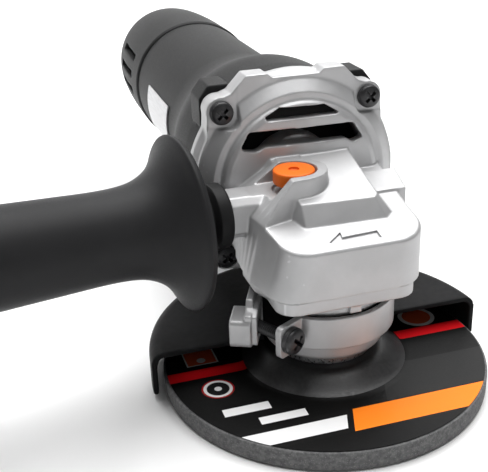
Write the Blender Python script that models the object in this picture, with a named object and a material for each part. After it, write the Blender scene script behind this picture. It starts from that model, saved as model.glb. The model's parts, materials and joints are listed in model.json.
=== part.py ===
"""Angle grinder for 115 mm discs, modelled as the assembly it is on the bench.

Run with: blender --background --python part.py

Frame: the origin is the lower end face of the spindle, on the spindle axis. +Z runs up the
spindle, +Y runs back along the motor housing, and the side handle points to -X.
Every dimension below is in millimetres and is turned into metres by MM.
"""

import math

import bmesh
import bpy
from mathutils import Matrix, Vector

MM = 0.001
GAP = 0.3

# Motor axis and spindle axis cross at this height.
MOTOR_Z = 65.1

# Grinding disc and guard.
DISC_R = 57.5
DISC_BORE_R = 11.2
RIM_TOP = 6.5
HUMP_TOP = 12.5
GUARD_R = 62.1
GUARD_TOP = 17.2
GUARD_WALL = 2.0
GUARD_FRONT_Y = 2.0

# Bevel gears: pitch cones share their apex where the two axes cross.
GEAR_TEETH = 30
PINION_TEETH = 12
GEAR_R = 20.5
TOOTH_INNER_R = 15.0
RATIO = GEAR_TEETH / PINION_TEETH
ADDENDUM = 0.9
DEDENDUM = 1.3
TOOTH_ROOT_HALF = 1.1
TOOTH_TIP_HALF = 0.56

# Gear head.
HEAD_FRONT = -25.5
HEAD_BOTTOM = 42.5
HEAD_REAR = 23.4
SLOPE = 0.19
SLOPE_FRONT_Z = 59.3
GEAR_CAVITY_R = 21.8
FLANGE_FACE = 25.8
EAR_FACE = 25.95
FLANGE_BACK = 34.0
FLANGE_R = 37.2
FLANGE_SCREW = 27.1

# Spindle lock.
LOCK_X = -8.1
LOCK_Y = 6.5
BUTTON_R = 7.1
POCKET_R = 7.8
BUTTON_TOP = 76.0
BUTTON_BOTTOM = 71.2
POCKET_FLOOR = 69.2
LOCK_HOLES = 12

# Bearing cover and clamp band.
COVER_BOTTOM = 38.2
COVER_HALF = 20.2
COVER_SCREW_SEAT = COVER_BOTTOM + 2.4
NECK_R = 22.3
SLEEVE_R = 21.0
COLLAR_R = 22.4
BAND_R = 24.6
BAND_LOW = 22.7
BAND_HIGH = 34.2
PLATE_TOP = 37.4
LUG_ANGLE = math.radians(209.4)
BLOCK_ANGLE = math.radians(245.0)
CLAMP_R = 28.3
CLAMP_Z = 28.5

# Motor housing and rear cover.
HOUSING_FRONT = FLANGE_BACK + GAP
HOUSING_R = 29.6
HOUSING_END = 171.9
REAR_END = 240.0
STATOR_R = 27.0
CORE_R = 14.8

# Side handle: its axis leaves the head at the boss, turned forward by the tilt.
BOSS_X = 32.4
HANDLE_AT = (-34.9, 9.1, 61.9)
HANDLE_TILT = math.radians(8.1)
HANDLE_LIFT = math.radians(1.1)
GRIP_R = 16.4
GRIP_END = 138.3
HANDLE_FLANGE_R = 29.3


def clear_scene():
    for thing in list(bpy.data.objects):
        bpy.data.objects.remove(thing, do_unlink=True)


def material(name, colour, roughness, metallic=0.0):
    found = bpy.data.materials.new(name)
    found.use_nodes = True
    shader = found.node_tree.nodes["Principled BSDF"]
    shader.inputs["Base Color"].default_value = (*colour, 1.0)
    shader.inputs["Roughness"].default_value = roughness
    shader.inputs["Metallic"].default_value = metallic
    found.diffuse_color = (*colour, 1.0)
    return found


def empty(name, at=(0.0, 0.0, 0.0), turn=(0.0, 0.0, 0.0)):
    holder = bpy.data.objects.new(name, None)
    holder.location = [c * MM for c in at]
    holder.rotation_euler = turn
    bpy.context.scene.collection.objects.link(holder)
    return holder


def warped(face):
    """Whether the face's corners are off its plane by more than a thousandth of a millimetre."""
    middle = face.calc_center_median()
    return any(abs((corner.co - middle).dot(face.normal)) > 0.001 * MM for corner in face.verts)


def solid(name, corners, faces, finish=None, parent=None, at=(0.0, 0.0, 0.0), turn=(0.0, 0.0, 0.0)):
    """One closed mesh object from corners in millimetres, with its faces turned outwards."""
    mesh = bpy.data.meshes.new(name)
    mesh.from_pydata([[c * MM for c in corner] for corner in corners], [], faces)
    work = bmesh.new()
    work.from_mesh(mesh)
    bmesh.ops.recalc_face_normals(work, faces=work.faces)
    bmesh.ops.triangulate(work, faces=[face for face in work.faces if warped(face)])
    work.to_mesh(mesh)
    work.free()
    mesh.shade_smooth()
    mesh.set_sharp_from_angle(angle=math.radians(35))
    piece = bpy.data.objects.new(name, mesh)
    piece.location = [c * MM for c in at]
    piece.rotation_euler = turn
    piece.parent = parent
    if finish is not None:
        mesh.materials.append(finish)
    bpy.context.scene.collection.objects.link(piece)
    return piece


def along(axis, a, b, h):
    """A corner whose plane coordinates are (a, b) and whose height along the axis is h."""
    return {"X": (h, a, b), "Y": (a, h, b), "Z": (a, b, h)}[axis]


def bridge(loops):
    """Corners and faces of the skin through equal loops, with both ends closed."""
    count = len(loops[0])
    corners = [corner for loop in loops for corner in loop]
    faces = [list(range(count)), list(range(len(corners) - count, len(corners)))]
    for row in range(len(loops) - 1):
        for i in range(count):
            j = (i + 1) % count
            low = row * count
            faces.append([low + i, low + j, low + count + j, low + count + i])
    return corners, faces


def lofted(name, loops, **where):
    corners, faces = bridge(loops)
    return solid(name, corners, faces, **where)


def prism(name, outline, low, high, axis="Z", **where):
    return lofted(name, [[along(axis, a, b, h) for a, b in outline] for h in (low, high)], **where)


def box(name, low, high, **where):
    outline = [(low[0], low[1]), (high[0], low[1]), (high[0], high[1]), (low[0], high[1])]
    return prism(name, outline, low[2], high[2], **where)


def turned(name, profile, axis="Z", segments=28, **where):
    """A body of revolution from (radius, height) corners. Corners at radius 0 lie on the axis."""
    corners = []
    rings = []
    for radius, height in profile:
        start = len(corners)
        if radius == 0:
            corners.append(along(axis, 0.0, 0.0, height))
            rings.append([start] * segments)
            continue
        for i in range(segments):
            angle = 2 * math.pi * i / segments
            corners.append(along(axis, radius * math.cos(angle), radius * math.sin(angle), height))
        rings.append(list(range(start, start + segments)))
    faces = []
    for k, ring in enumerate(rings):
        following = rings[(k + 1) % len(rings)]
        if profile[k][0] == 0 and profile[(k + 1) % len(rings)][0] == 0:
            continue
        for i in range(segments):
            j = (i + 1) % segments
            face = []
            for corner in (ring[i], ring[j], following[j], following[i]):
                if corner not in face:
                    face.append(corner)
            faces.append(face)
    return solid(name, corners, faces, **where)


def rod(name, radius, low, high, axis="Z", segments=16, **where):
    profile = [(0.0, low), (radius, low), (radius, high), (0.0, high)]
    return turned(name, profile, axis=axis, segments=segments, **where)


def washer(name, inner, outer, low, high, axis="Z", segments=24, **where):
    profile = [(inner, low), (outer, low), (outer, high), (inner, high)]
    return turned(name, profile, axis=axis, segments=segments, **where)


def helper(piece):
    piece.hide_render = True
    piece.display_type = "WIRE"
    return piece


def combine(target, other, operation):
    change = target.modifiers.new(f"{operation.lower()}_{other.name}", "BOOLEAN")
    change.operation = operation
    change.solver = "EXACT"
    change.object = helper(other)
    return target


def cut(target, *tools):
    for tool in tools:
        combine(target, tool, "DIFFERENCE")
    return target


def fuse(target, *pieces):
    for piece in pieces:
        combine(target, piece, "UNION")
    return target


def arc(centre, radius, start, end, count):
    """Points of an arc, with both ends, from the start angle to the end angle in degrees."""
    points = []
    for i in range(count):
        angle = math.radians(start + (end - start) * i / (count - 1))
        points.append((centre[0] + radius * math.cos(angle), centre[1] + radius * math.sin(angle)))
    return points


def sector(inner, outer, start, end, count):
    """Outline of a ring sector."""
    return arc((0, 0), outer, start, end, count) + arc((0, 0), inner, end, start, count)


def about_motor(points):
    return [(x, z + MOTOR_Z) for x, z in points]


def slope_z(y):
    """Height of the head's sloping top face."""
    return SLOPE_FRONT_Z + SLOPE * (y - HEAD_FRONT)


def head_outline(front, half, corner, rear_half, steps=6):
    """Plan outline of the head: round around the gears, with a waist towards the flange."""
    waist_y = -1.0
    left = []
    for i in range(5):
        t = i / 4
        y = HEAD_REAR + (waist_y - HEAD_REAR) * t
        left.append((-rear_half - (half - rear_half) * t * t * (3 - 2 * t), y))
    left += arc((-half + corner, front + corner), corner, 180, 270, steps)
    return left + [(-x, y) for x, y in reversed(left)]


def coil_spring(name, radius, wire, low, high, turns, finish, steps=8, sides=4, **where):
    """A round-wire compression spring along Z."""
    loops = []
    total = turns * steps
    pitch = (high - low - 2 * wire) / total
    for i in range(total + 1):
        angle = 2 * math.pi * i / steps
        out = Vector((math.cos(angle), math.sin(angle), 0.0))
        centre = out * radius + Vector((0, 0, low + wire + pitch * i))
        loop = []
        for k in range(sides):
            turn = 2 * math.pi * k / sides
            loop.append(tuple(centre + out * (wire * math.cos(turn)) + Vector((0, 0, wire * math.sin(turn)))))
        loops.append(loop)
    return lofted(name, loops, finish=finish, **where)


def cross_recess(name, radius, depth, at, axis, sign):
    """Two crossed wedges that cut a cross recess into a screw head."""
    half = radius * 0.62
    thin = radius * 0.17
    outline = [
        (half, -thin), (half, thin), (thin, thin), (thin, half), (-thin, half), (-thin, thin),
        (-half, thin), (-half, -thin), (-thin, -thin), (-thin, -half), (thin, -half), (thin, -thin),
    ]
    low, high = sorted((-sign * depth, sign * 1.0))
    return prism(name, outline, low, high, axis=axis, at=at)


def pan_screw(name, head_r, head_h, shank_r, length, at, axis, sign, finish, parent=None, segments=14):
    """A cross-recess screw whose head's seat is at the point at; its shank runs along -sign."""
    top = sign * head_h
    profile = [
        (0.0, top), (head_r * 0.62, top * 0.93), (head_r, top * 0.4), (head_r, 0.0), (shank_r, 0.0),
        (shank_r, -sign * length), (0.0, -sign * length),
    ]
    screw = turned(name, profile, axis=axis, segments=segments, finish=finish, parent=parent, at=at)
    place = list(at)
    place["XYZ".index(axis)] += top
    recess = cross_recess(name + "_recess", head_r, head_h * 0.55, place, axis, sign)
    recess.parent = parent
    return cut(screw, recess)


# ---------------------------------------------------------------- gear head


def flange_outline():
    """Front view of the flange plate: a circle with four screw ears and a flat raised top."""
    ear = 5.2
    s = FLANGE_SCREW
    right = [(8.5, 37.3), (10.5, 38.9), (18.0, 38.9), (21.0, 36.2)]
    right += arc((s, s), ear, 62, -15, 5)
    right += arc((0, 0), FLANGE_R, 29, -29, 9)
    right += arc((s, -s), ear, 15, -90, 6)
    right += arc((0, 0), FLANGE_R, -62, -80, 3)
    left = [(-x, z) for x, z in reversed(right)]
    return about_motor(right + left)


def lock_block():
    """The raised horseshoe around the lock button."""
    outer_r = 11.3
    outline = [(-24.3, -8.0), (LOCK_X - 4.0, LOCK_Y - outer_r - 0.3)]
    outline += arc((LOCK_X, LOCK_Y), outer_r, -90, 60, 9)
    outline += [(-1.0, 20.5), (-22.0, 20.5), (-24.3, 12.0)]
    return prism("lock_block", outline, 56.0, BUTTON_TOP)


def lock_bevel():
    """Cutter for the twisted bevel that runs down the left side of the lock block."""
    loops = []
    for step in range(6):
        t = step / 5
        y = -14.0 + 38.0 * t
        top_x = -13.3 + 3.7 * t
        low_x = -23.2 - 5.3 * t
        low_z = 61.6 + 3.2 * t
        rise = (top_x - low_x) / (BUTTON_TOP - low_z)
        over = 10.0
        loops.append([
            (top_x + rise * over, y, BUTTON_TOP + over), (low_x, y, low_z),
            (-60.0, y, low_z - 12.0), (-60.0, y, BUTTON_TOP + over),
        ])
    return lofted("lock_bevel", loops)


def side_bevel():
    """Cutter for the plane that leans the head's left side in towards its top."""
    loops = []
    for y in (-40.0, 30.0):
        low, high = (-38.38 - 0.1976 * y + 0.213 * z for z in (30.0, 90.0))
        loops.append([(low, y, 30.0), (high, y, 90.0), (-80.0, y, 90.0), (-80.0, y, 30.0)])
    return lofted("side_bevel", loops)


def head_body(finish):
    """The block that houses the gears, with its sloping top."""
    plan = head_outline(HEAD_FRONT, 27.8, 12.0, 21.8)
    top = head_outline(HEAD_FRONT + 0.7, 27.1, 11.6, 21.3)
    loops = [
        [(x, y, HEAD_BOTTOM) for x, y in plan],
        [(x, y, slope_z(y) - 0.7) for x, y in plan],
        [(x, y, slope_z(y)) for x, y in top],
    ]
    return lofted("gear_housing", loops, finish=finish)


def plateau():
    """The raised block over the pinion, with drafted sides and a top that climbs to the rear."""
    rear_y = HEAD_REAR - 0.4
    foot = [(-10.9, -12.0), (17.3, -12.6), (20.4, -9.6), (20.9, rear_y), (-20.0, rear_y), (-13.3, -5.3)]
    top = [(-11.0, -8.0), (14.4, -9.2), (16.0, -7.4), (16.8, rear_y), (-12.5, rear_y), (-11.0, 4.0)]
    rise = (76.3 - 68.8) / 28.5
    return lofted("plateau", [
        [(x, y, slope_z(y) - 4.0) for x, y in foot],
        [(x, y, slope_z(y)) for x, y in foot],
        [(x, y, 68.8 + rise * (y + 8.0)) for x, y in top],
    ])


def handle_boss(name, side):
    """A square boss with broken corners whose end face is square to the handle's axis."""
    half, chamfer = 7.2, 2.6
    outline = [
        (half, -half + chamfer), (half, half - chamfer), (half - chamfer, half), (-half + chamfer, half),
        (-half, half - chamfer), (-half, -half + chamfer), (-half + chamfer, -half), (half - chamfer, -half),
    ]
    loops = []
    for reach, lean in ((18.0, 0.0), (BOSS_X, math.tan(HANDLE_TILT))):
        loops.append([(side * (reach + lean * a), HANDLE_AT[1] + a, HANDLE_AT[2] + 0.3 + b) for a, b in outline])
    return lofted(name, loops)


def handle_bore(name, side):
    """Cutter for the handle's threaded hole."""
    turn = (0.0, side * (math.pi / 2 - HANDLE_LIFT), -side * HANDLE_TILT)
    inward = -HANDLE_AT[0] - BOSS_X
    at = (side * BOSS_X, HANDLE_AT[1] + inward * math.tan(HANDLE_TILT), HANDLE_AT[2])
    return rod(name, 4.3, -10.0, 4.0, segments=16, at=at, turn=turn)


def ear_pocket(name, side, level):
    """Cutter for the rounded square pocket in front of one flange ear."""
    wall, corner, far = 21.15, 3.5, 46.0
    floor = 21.5 if level > 0 else 19.9
    outline = [(far, floor)] + arc((wall + corner, floor + corner), corner, 270, 180, 5) + [(wall, far), (far, far)]
    return prism(name, about_motor([(side * x, level * z) for x, z in outline]), 15.0, EAR_FACE, axis="Y")


def ear_seat(level):
    """Face that a flange screw's head rests on: the lower two are sunk."""
    return EAR_FACE if level > 0 else EAR_FACE + 1.5


def head_cavities():
    """Cutters for the gear room, bearing seats, air chamber, exhaust slots, lock and screws."""
    cone = (GEAR_R + 0.1) / RATIO
    cavity = turned("gear_room", [
        (0.0, 38.0), (GEAR_CAVITY_R, 38.0), (GEAR_CAVITY_R, 58.3), (14.0, 60.5), (8.4, 60.5),
        (8.4, 58.6), (6.15, 58.6), (6.15, 66.6), (0.0, 66.6),
    ], segments=32)
    pinion_room = turned("pinion_room", [
        (0.0, 10.0), (4.2, 10.0), (4.2, 14.2), (7.2, 14.2), (cone + ADDENDUM + 0.6, 21.0),
        (cone + ADDENDUM + 0.6, 21.5), (13.2, 21.5), (13.2, 40.0), (0.0, 40.0),
    ], axis="Y", segments=24, at=(0, 0, MOTOR_Z))
    air = washer("air_chamber", 16.0, 28.0, 23.6, 40.0, axis="Y", segments=32, at=(0, 0, MOTOR_Z))
    upper = [(-8.0, 27.9), (-13.7, 24.9), (-13.0, 23.9), (13.0, 23.9), (13.7, 24.9), (8.0, 27.9)]
    lower = [
        (-19.0, 20.6), (-22.8, 15.2), (-21.6, 13.7), (-16.6, 13.7), (-13.6, 14.8),
        (13.6, 14.8), (16.6, 13.7), (21.6, 13.7), (22.8, 15.2), (19.0, 20.6),
    ]
    slots = [prism(f"slot_{i}", about_motor(points), 15.0, 26.0, axis="Y")
             for i, points in enumerate((upper, lower))]
    pocket = [(-24.0, LOCK_Y - POCKET_R)] + arc((LOCK_X, LOCK_Y), POCKET_R, -90, 90, 9)
    pocket.append((-24.0, LOCK_Y + POCKET_R))
    lock = [
        prism("pocket", pocket, POCKET_FLOOR, 84.0),
        rod("button_well", POCKET_R - 0.3, 67.9, 72.0, segments=20, at=(LOCK_X, LOCK_Y, 0)),
        rod("spring_well", 3.4, 62.5, 70.0, segments=12, at=(LOCK_X, LOCK_Y, 0)),
        rod("pin_bore", 1.9, 56.0, 66.0, segments=12, at=(LOCK_X, LOCK_Y, 0)),
    ]
    screws = []
    for i, (x, z) in enumerate(square(FLANGE_SCREW)):
        at = (x, 0, MOTOR_Z + z)
        side, level = math.copysign(1, x), math.copysign(1, z)
        screws.append(ear_pocket(f"ear_pocket_{i}", side, level))
        screws.append(rod(f"flange_hole_{i}", 2.3, 20.0, 40.0, axis="Y", segments=12, at=at))
        if level < 0:
            screws.append(rod(f"flange_seat_{i}", 4.5, 15.0, ear_seat(level), axis="Y", segments=16, at=at))
    for i, (x, y) in enumerate(cover_screw_places()):
        screws.append(rod(f"cover_hole_{i}", 1.9, 40.0, 54.5, segments=10, at=(x, y, 0)))
    return [cavity, pinion_room, air] + slots + lock + screws


def square(half):
    return [(-half, half), (half, half), (half, -half), (-half, -half)]


def cover_screw_places():
    return [(-16.4, -18.4), (16.4, -18.4), (20.0, 16.5), (-20.0, 16.5)]


def gear_housing(finish):
    housing = head_body(finish)
    cone = turned("flange_cone", [
        (0.0, 18.6), (14.0, 18.9), (27.0, 19.8), (28.6, 20.6), (29.6, 22.0), (32.2, 22.0),
        (FLANGE_R - 0.4, FLANGE_FACE + 0.4), (FLANGE_R - 0.4, FLANGE_BACK - 1.0), (0.0, FLANGE_BACK - 1.0),
    ], axis="Y", segments=40, at=(0, 0, MOTOR_Z))
    plate = prism("flange_plate", flange_outline(), FLANGE_FACE, FLANGE_BACK, axis="Y")
    rim = rod("flange_rim", FLANGE_R + 1.6, 30.4, FLANGE_BACK - 0.3, axis="Y", segments=48, at=(0, 0, MOTOR_Z))
    seat = [
        turned("neck_room", [
            (0.0, 10.0), (BAND_R + 0.5, 10.0), (BAND_R + 0.5, BAND_HIGH + 0.5), (NECK_R + 0.4, BAND_HIGH + 0.5),
            (NECK_R + 0.4, COVER_BOTTOM + 2.0), (0.0, COVER_BOTTOM + 2.0),
        ], segments=36),
        box("cover_room", (-40.0, -40.0, COVER_BOTTOM - GAP), (40.0, 23.1, HEAD_BOTTOM + 0.7)),
    ]
    cut(fuse(cone, plate, rim), *seat)
    fuse(housing, lock_block())
    cut(housing, lock_bevel(), side_bevel())
    fuse(housing, plateau(), cone, handle_boss("left_boss", -1), handle_boss("right_boss", 1))
    return cut(housing, *head_cavities(), handle_bore("left_bore", -1), handle_bore("right_bore", 1))


def cover_outline():
    """Plan outline of the bearing cover, narrower than the head in front."""
    front, rear, corner = HEAD_FRONT + 0.3, 22.0, 5.6
    left = [(-22.0, rear), (-25.4, 9.0), (-25.4, -4.4), (-COVER_HALF, -9.2)]
    left += arc((-COVER_HALF + corner, front + corner), corner, 180, 270, 6)
    return left + [(-x, y) for x, y in reversed(left)]


def bearing_cover(finish):
    cover = prism("bearing_cover", cover_outline(), COVER_BOTTOM, HEAD_BOTTOM - GAP, finish=finish)
    neck = turned("neck", [
        (0.0, 16.4), (20.2, 16.4), (SLEEVE_R, 17.4), (SLEEVE_R, BAND_HIGH + GAP), (NECK_R, BAND_HIGH + GAP),
        (NECK_R, COVER_BOTTOM + 1), (0.0, COVER_BOTTOM + 1),
    ], segments=32)
    spigot = rod("spigot", GEAR_CAVITY_R - GAP, 40.0, 45.0, segments=32)
    tab = box("key_tab", (-0.2, -24.0, 35.3), (3.8, -21.0, COVER_BOTTOM + 1))
    bore = turned("cover_bore", [
        (0.0, 15.0), (9.8, 15.0), (9.8, 27.0), (16.2, 27.0), (16.2, 48.0), (0.0, 48.0),
    ], segments=32)
    fuse(cover, neck, spigot, tab)
    holes = []
    for i, (x, y) in enumerate(cover_screw_places()):
        holes.append(rod(f"cover_clear_{i}", 1.9, 30.0, 50.0, segments=10, at=(x, y, 0)))
        holes.append(rod(f"cover_sink_{i}", 3.1, 30.0, COVER_SCREW_SEAT, segments=14, at=(x, y, 0)))
    return cut(cover, bore, *holes)


# ---------------------------------------------------------------- spindle


def spindle(finish, parent):
    profile = [
        (0.0, 0.0), (5.9, 0.0), (6.6, 0.9), (6.6, 16.1), (8.5, 16.2), (8.5, 27.1), (6.1, 27.2),
        (6.1, 58.2), (4.0, 58.3), (4.0, 65.4), (3.4, 66.0), (0.0, 66.0),
    ]
    return turned("spindle", profile, segments=20, finish=finish, parent=parent)


def pitch_z(radius):
    """Height of the shared pitch cone at this distance from the spindle axis."""
    return MOTOR_Z - radius / RATIO


def gear_tooth(angle):
    """A tapered tooth on the crown gear's cone, pointing at the pitch apex."""
    loops = []
    for radius in (TOOTH_INNER_R, GEAR_R):
        scale = radius / GEAR_R
        low = pitch_z(radius) - (DEDENDUM + 0.8) * scale
        high = pitch_z(radius) + ADDENDUM * scale
        half_low = (TOOTH_ROOT_HALF + 0.15) * scale
        half_high = TOOTH_TIP_HALF * scale
        flat = [(-half_low, low), (half_low, low), (half_high, high), (-half_high, high)]
        loops.append([
            (radius * math.cos(angle) - s * math.sin(angle), radius * math.sin(angle) + s * math.cos(angle), z)
            for s, z in flat
        ])
    return loops


def pinion_tooth(angle):
    """The pinion's matching tooth, about the motor axis."""
    loops = []
    for distance in (TOOTH_INNER_R, GEAR_R):
        scale = distance / GEAR_R
        pitch = distance / RATIO
        low = pitch - (DEDENDUM + 0.8) * scale
        high = pitch + ADDENDUM * scale
        half_low = (TOOTH_ROOT_HALF + 0.15) * scale
        half_high = TOOTH_TIP_HALF * scale
        flat = [(-half_low, low), (half_low, low), (half_high, high), (-half_high, high)]
        loops.append([
            (r * math.cos(angle) - s * math.sin(angle), distance, r * math.sin(angle) + s * math.cos(angle))
            for s, r in flat
        ])
    return loops


def teeth(name, tooth, count, start, parent=None, at=(0, 0, 0)):
    corners, faces = [], []
    for i in range(count):
        more, skin = bridge(tooth(start + 2 * math.pi * i / count))
        faces += [[len(corners) + c for c in face] for face in skin]
        corners += more
    return solid(name, corners, faces, parent=parent, at=at)


def crown_gear(finish, parent):
    root_outer = pitch_z(GEAR_R) - DEDENDUM
    root_inner = pitch_z(TOOTH_INNER_R - 0.3) - DEDENDUM * TOOTH_INNER_R / GEAR_R
    gear = turned("crown_gear", [
        (6.4, 37.7), (9.0, 37.7), (9.0, 50.5), (19.2, 50.5), (GEAR_R + 0.1, 52.0), (GEAR_R + 0.1, root_outer),
        (TOOTH_INNER_R - 0.3, root_inner), (14.2, 57.0), (6.4, 57.0),
    ], segments=30, finish=finish, parent=parent)
    fuse(gear, teeth("crown_teeth", gear_tooth, GEAR_TEETH, math.pi / 2, parent=parent))
    reach = math.hypot(LOCK_X, LOCK_Y)
    start = math.atan2(LOCK_Y, LOCK_X)
    holes = []
    for i in range(LOCK_HOLES):
        angle = start + 2 * math.pi * i / LOCK_HOLES
        at = (reach * math.cos(angle), reach * math.sin(angle), 0)
        holes.append(rod(f"lock_hole_{i}", 1.95, 48.0, 60.0, segments=6, parent=parent, at=at))
    return cut(gear, *holes)


def inner_flange(finish, parent):
    profile = [(6.9, 12.9), (17.5, 12.9), (17.5, 14.6), (15.0, 15.9), (6.9, 15.9)]
    return turned("inner_flange", profile, segments=24, finish=finish, parent=parent)


def grinding_disc(finish, parent):
    """A depressed-centre disc: flat rim, smooth step, raised hub, all of even thickness."""
    top = [(DISC_R - 0.4, RIM_TOP), (31.0, RIM_TOP + 0.2)]
    low = [(DISC_BORE_R, HUMP_TOP - 6.2), (19.0, HUMP_TOP - 6.2)]
    for i in range(1, 4):
        t = i / 4
        ease = t * t * (3 - 2 * t)
        top.append((31.0 - 11.0 * t, RIM_TOP + 0.2 + (HUMP_TOP - RIM_TOP - 0.2) * ease))
        low.append((19.0 + 11.0 * t, (HUMP_TOP - 6.2) * (1 - ease)))
    top += [(20.0, HUMP_TOP), (DISC_BORE_R, HUMP_TOP)]
    low += [(30.0, 0.0), (DISC_R - 0.4, 0.0), (DISC_R, 0.4), (DISC_R, RIM_TOP - 0.4)]
    return turned("grinding_disc", low + top, segments=40, finish=finish, parent=parent)


def flange_nut(finish, parent):
    nut = turned("flange_nut", [
        (7.0, 1.2), (16.5, 1.2), (17.5, 2.0), (17.5, 5.9), (10.8, 5.9), (10.8, 11.5), (7.0, 11.5),
    ], segments=24, finish=finish, parent=parent)
    holes = [rod(f"spanner_hole_{i}", 2.0, -1.0, 4.0, segments=10, parent=parent, at=(side * 12.5, 0, 0))
             for i, side in enumerate((-1, 1))]
    return cut(nut, *holes)


# ---------------------------------------------------------------- guard


def guard_shroud(finish, parent):
    wall = GUARD_R - GUARD_WALL
    shroud = turned("guard_shroud", [
        (SLEEVE_R + GAP, GUARD_TOP - GUARD_WALL), (wall - 1.6, GUARD_TOP - GUARD_WALL), (wall, GUARD_TOP - GUARD_WALL - 1.6),
        (wall, 1.0), (GUARD_R, 1.0), (GUARD_R, GUARD_TOP - 3.0), (GUARD_R - 0.9, GUARD_TOP - 0.9),
        (GUARD_R - 3.0, GUARD_TOP), (24.0, GUARD_TOP), (COLLAR_R, GUARD_TOP + 1.6), (COLLAR_R, BAND_HIGH - GAP),
        (SLEEVE_R + GAP, BAND_HIGH - GAP),
    ], segments=40, finish=finish, parent=parent)
    front = box("guard_front", (-80, -80, -10), (80, GUARD_FRONT_Y, BAND_LOW - GAP), parent=parent)
    return cut(shroud, front)


def clamp_plate(name, outline, near, far, angle, parent):
    """A plate of the clamp, from its (outward, up) outline, in a frame turned about the spindle."""
    return prism(name, outline, near, far, axis="Y", parent=parent, turn=(0, 0, angle))


def clamp_band(finish, parent):
    """The band, open between the nut block on the left and the thin lug under the screw head."""
    band = washer("clamp_band", COLLAR_R + GAP, BAND_R, BAND_LOW, BAND_HIGH, segments=40, finish=finish, parent=parent)
    gap = prism("band_gap", sector(20.0, 28.0, 184, 229, 8), 10.0, 50.0, parent=parent)
    reach, low, high, round_off = 33.1, BAND_LOW + 0.1, BAND_HIGH - 0.1, 1.5
    thin = [
        (21.8, low), (reach - round_off, low), (reach, low + round_off), (reach, high - round_off),
        (reach - round_off, high), (21.8, high),
    ]
    block = [(x - 8.4 if x > 30.0 else 13.5, z) for x, z in thin]
    tall = [(8.0, 23.1), (24.3, 23.1), (24.3, 33.8), (17.5, 33.8), (15.5, PLATE_TOP), (8.0, PLATE_TOP)]
    cut(band, gap)
    fuse(
        band,
        clamp_plate("tall_plate", tall, -24.6, -22.2, BLOCK_ANGLE, parent),
        clamp_plate("nut_block", block, -29.4, -22.6, BLOCK_ANGLE, parent),
        clamp_plate("thin_lug", thin, 6.9, 9.2, LUG_ANGLE, parent),
    )
    bore = rod("clamp_bore", 2.5, -11.4, 20.0, axis="Y", segments=12, parent=parent, turn=(0, 0, LUG_ANGLE))
    bore.location = [CLAMP_R * MM * math.cos(LUG_ANGLE), CLAMP_R * MM * math.sin(LUG_ANGLE), CLAMP_Z * MM]
    return cut(band, bore)


def clamp_screw(finish, parent):
    """The cross-recess screw that pulls the two lugs together."""
    at = (CLAMP_R * math.cos(LUG_ANGLE), CLAMP_R * math.sin(LUG_ANGLE), CLAMP_Z)
    holder = empty("clamp_axis", at, (0, 0, LUG_ANGLE))
    holder.parent = parent
    return pan_screw("clamp_screw", 4.6, 3.6, 2.2, 20.0, (0, 9.5, 0), "Y", 1, finish, parent=holder)


# ---------------------------------------------------------------- spindle lock


def lock_button(finish, parent):
    profile = [
        (1.8, 73.9), (4.4, 73.9), (4.4, BUTTON_BOTTOM), (BUTTON_R, BUTTON_BOTTOM), (BUTTON_R, BUTTON_TOP - 0.7),
        (BUTTON_R - 0.6, BUTTON_TOP), (1.9, BUTTON_TOP), (1.4, BUTTON_TOP - 0.6), (0.0, BUTTON_TOP - 0.6), (0.0, 73.9),
    ]
    return turned("lock_button", profile, segments=28, finish=finish, parent=parent)


def lock_pin(finish, parent):
    profile = [(0.0, 59.0), (1.1, 59.0), (1.5, 59.5), (1.5, 73.6), (0.0, 73.6)]
    return turned("lock_pin", profile, segments=12, finish=finish, parent=parent)


# ---------------------------------------------------------------- motor housing


def motor_housing(finish):
    housing = turned("motor_housing", [
        (0.0, HOUSING_FRONT), (36.0, HOUSING_FRONT), (36.8, 38.0), (37.2, 46.0), (37.0, 60.0), (35.6, 69.0),
        (32.6, 79.0), (30.6, 88.0), (29.7, 97.0), (HOUSING_R, 105.0), (HOUSING_R, HOUSING_END),
        (26.2, HOUSING_END + 0.1), (26.2, 186.0), (0.0, 186.0),
    ], axis="Y", segments=36, at=(0, 0, MOTOR_Z), finish=finish)
    corner = [(20.0, 20.0), (32.5, 20.0), (32.5, 30.0), (29.0, 34.5), (22.0, 34.5), (20.0, 33.0)]
    ears = []
    for i, (x, z) in enumerate(square(1)):
        outline = about_motor([(x * a, z * b) for a, b in corner])
        ears.append(prism(f"housing_ear_{i}", outline, HOUSING_FRONT + 0.1, 47.0, axis="Y"))
    front = turned("front_cavity", [
        (0.0, 20.0), (34.0, 20.0), (34.0, 50.3), (27.3, 50.4), (27.3, 147.0), (0.0, 147.0),
    ], axis="Y", segments=32, at=(0, 0, MOTOR_Z))
    rear = turned("rear_cavity", [
        (14.0, 150.0), (24.0, 150.0), (24.0, 200.0), (0.0, 200.0), (0.0, 155.6), (14.0, 155.6),
    ], axis="Y", segments=32, at=(0, 0, MOTOR_Z))
    seat = rod("rear_seat", 11.6, 140.0, 158.0, axis="Y", segments=24, at=(0, 0, MOTOR_Z))
    windows = [
        box("web_window_right", (15.4, 144, MOTOR_Z - 4.3), (22.9, 152, MOTOR_Z + 4.3)),
        box("web_window_left", (-22.9, 144, MOTOR_Z - 4.3), (-15.4, 152, MOTOR_Z + 4.3)),
    ]
    slot = box("switch_slot", (22.0, 124.4, MOTOR_Z - 2.9), (36.0, 137.6, MOTOR_Z + 2.9))
    screws = [rod(f"housing_hole_{i}", 2.3, 30.0, 46.0, axis="Y", segments=12, at=(x, 0, MOTOR_Z + z))
              for i, (x, z) in enumerate(square(FLANGE_SCREW))]
    fuse(housing, *ears)
    return cut(housing, front, rear, seat, slot, *windows, *screws, *rear_screw_bores("spigot"))


def rear_screw_frames():
    """Angle about the motor axis of each radial screw that holds the rear cover."""
    return [math.radians(-60), math.radians(-120)]


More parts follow.
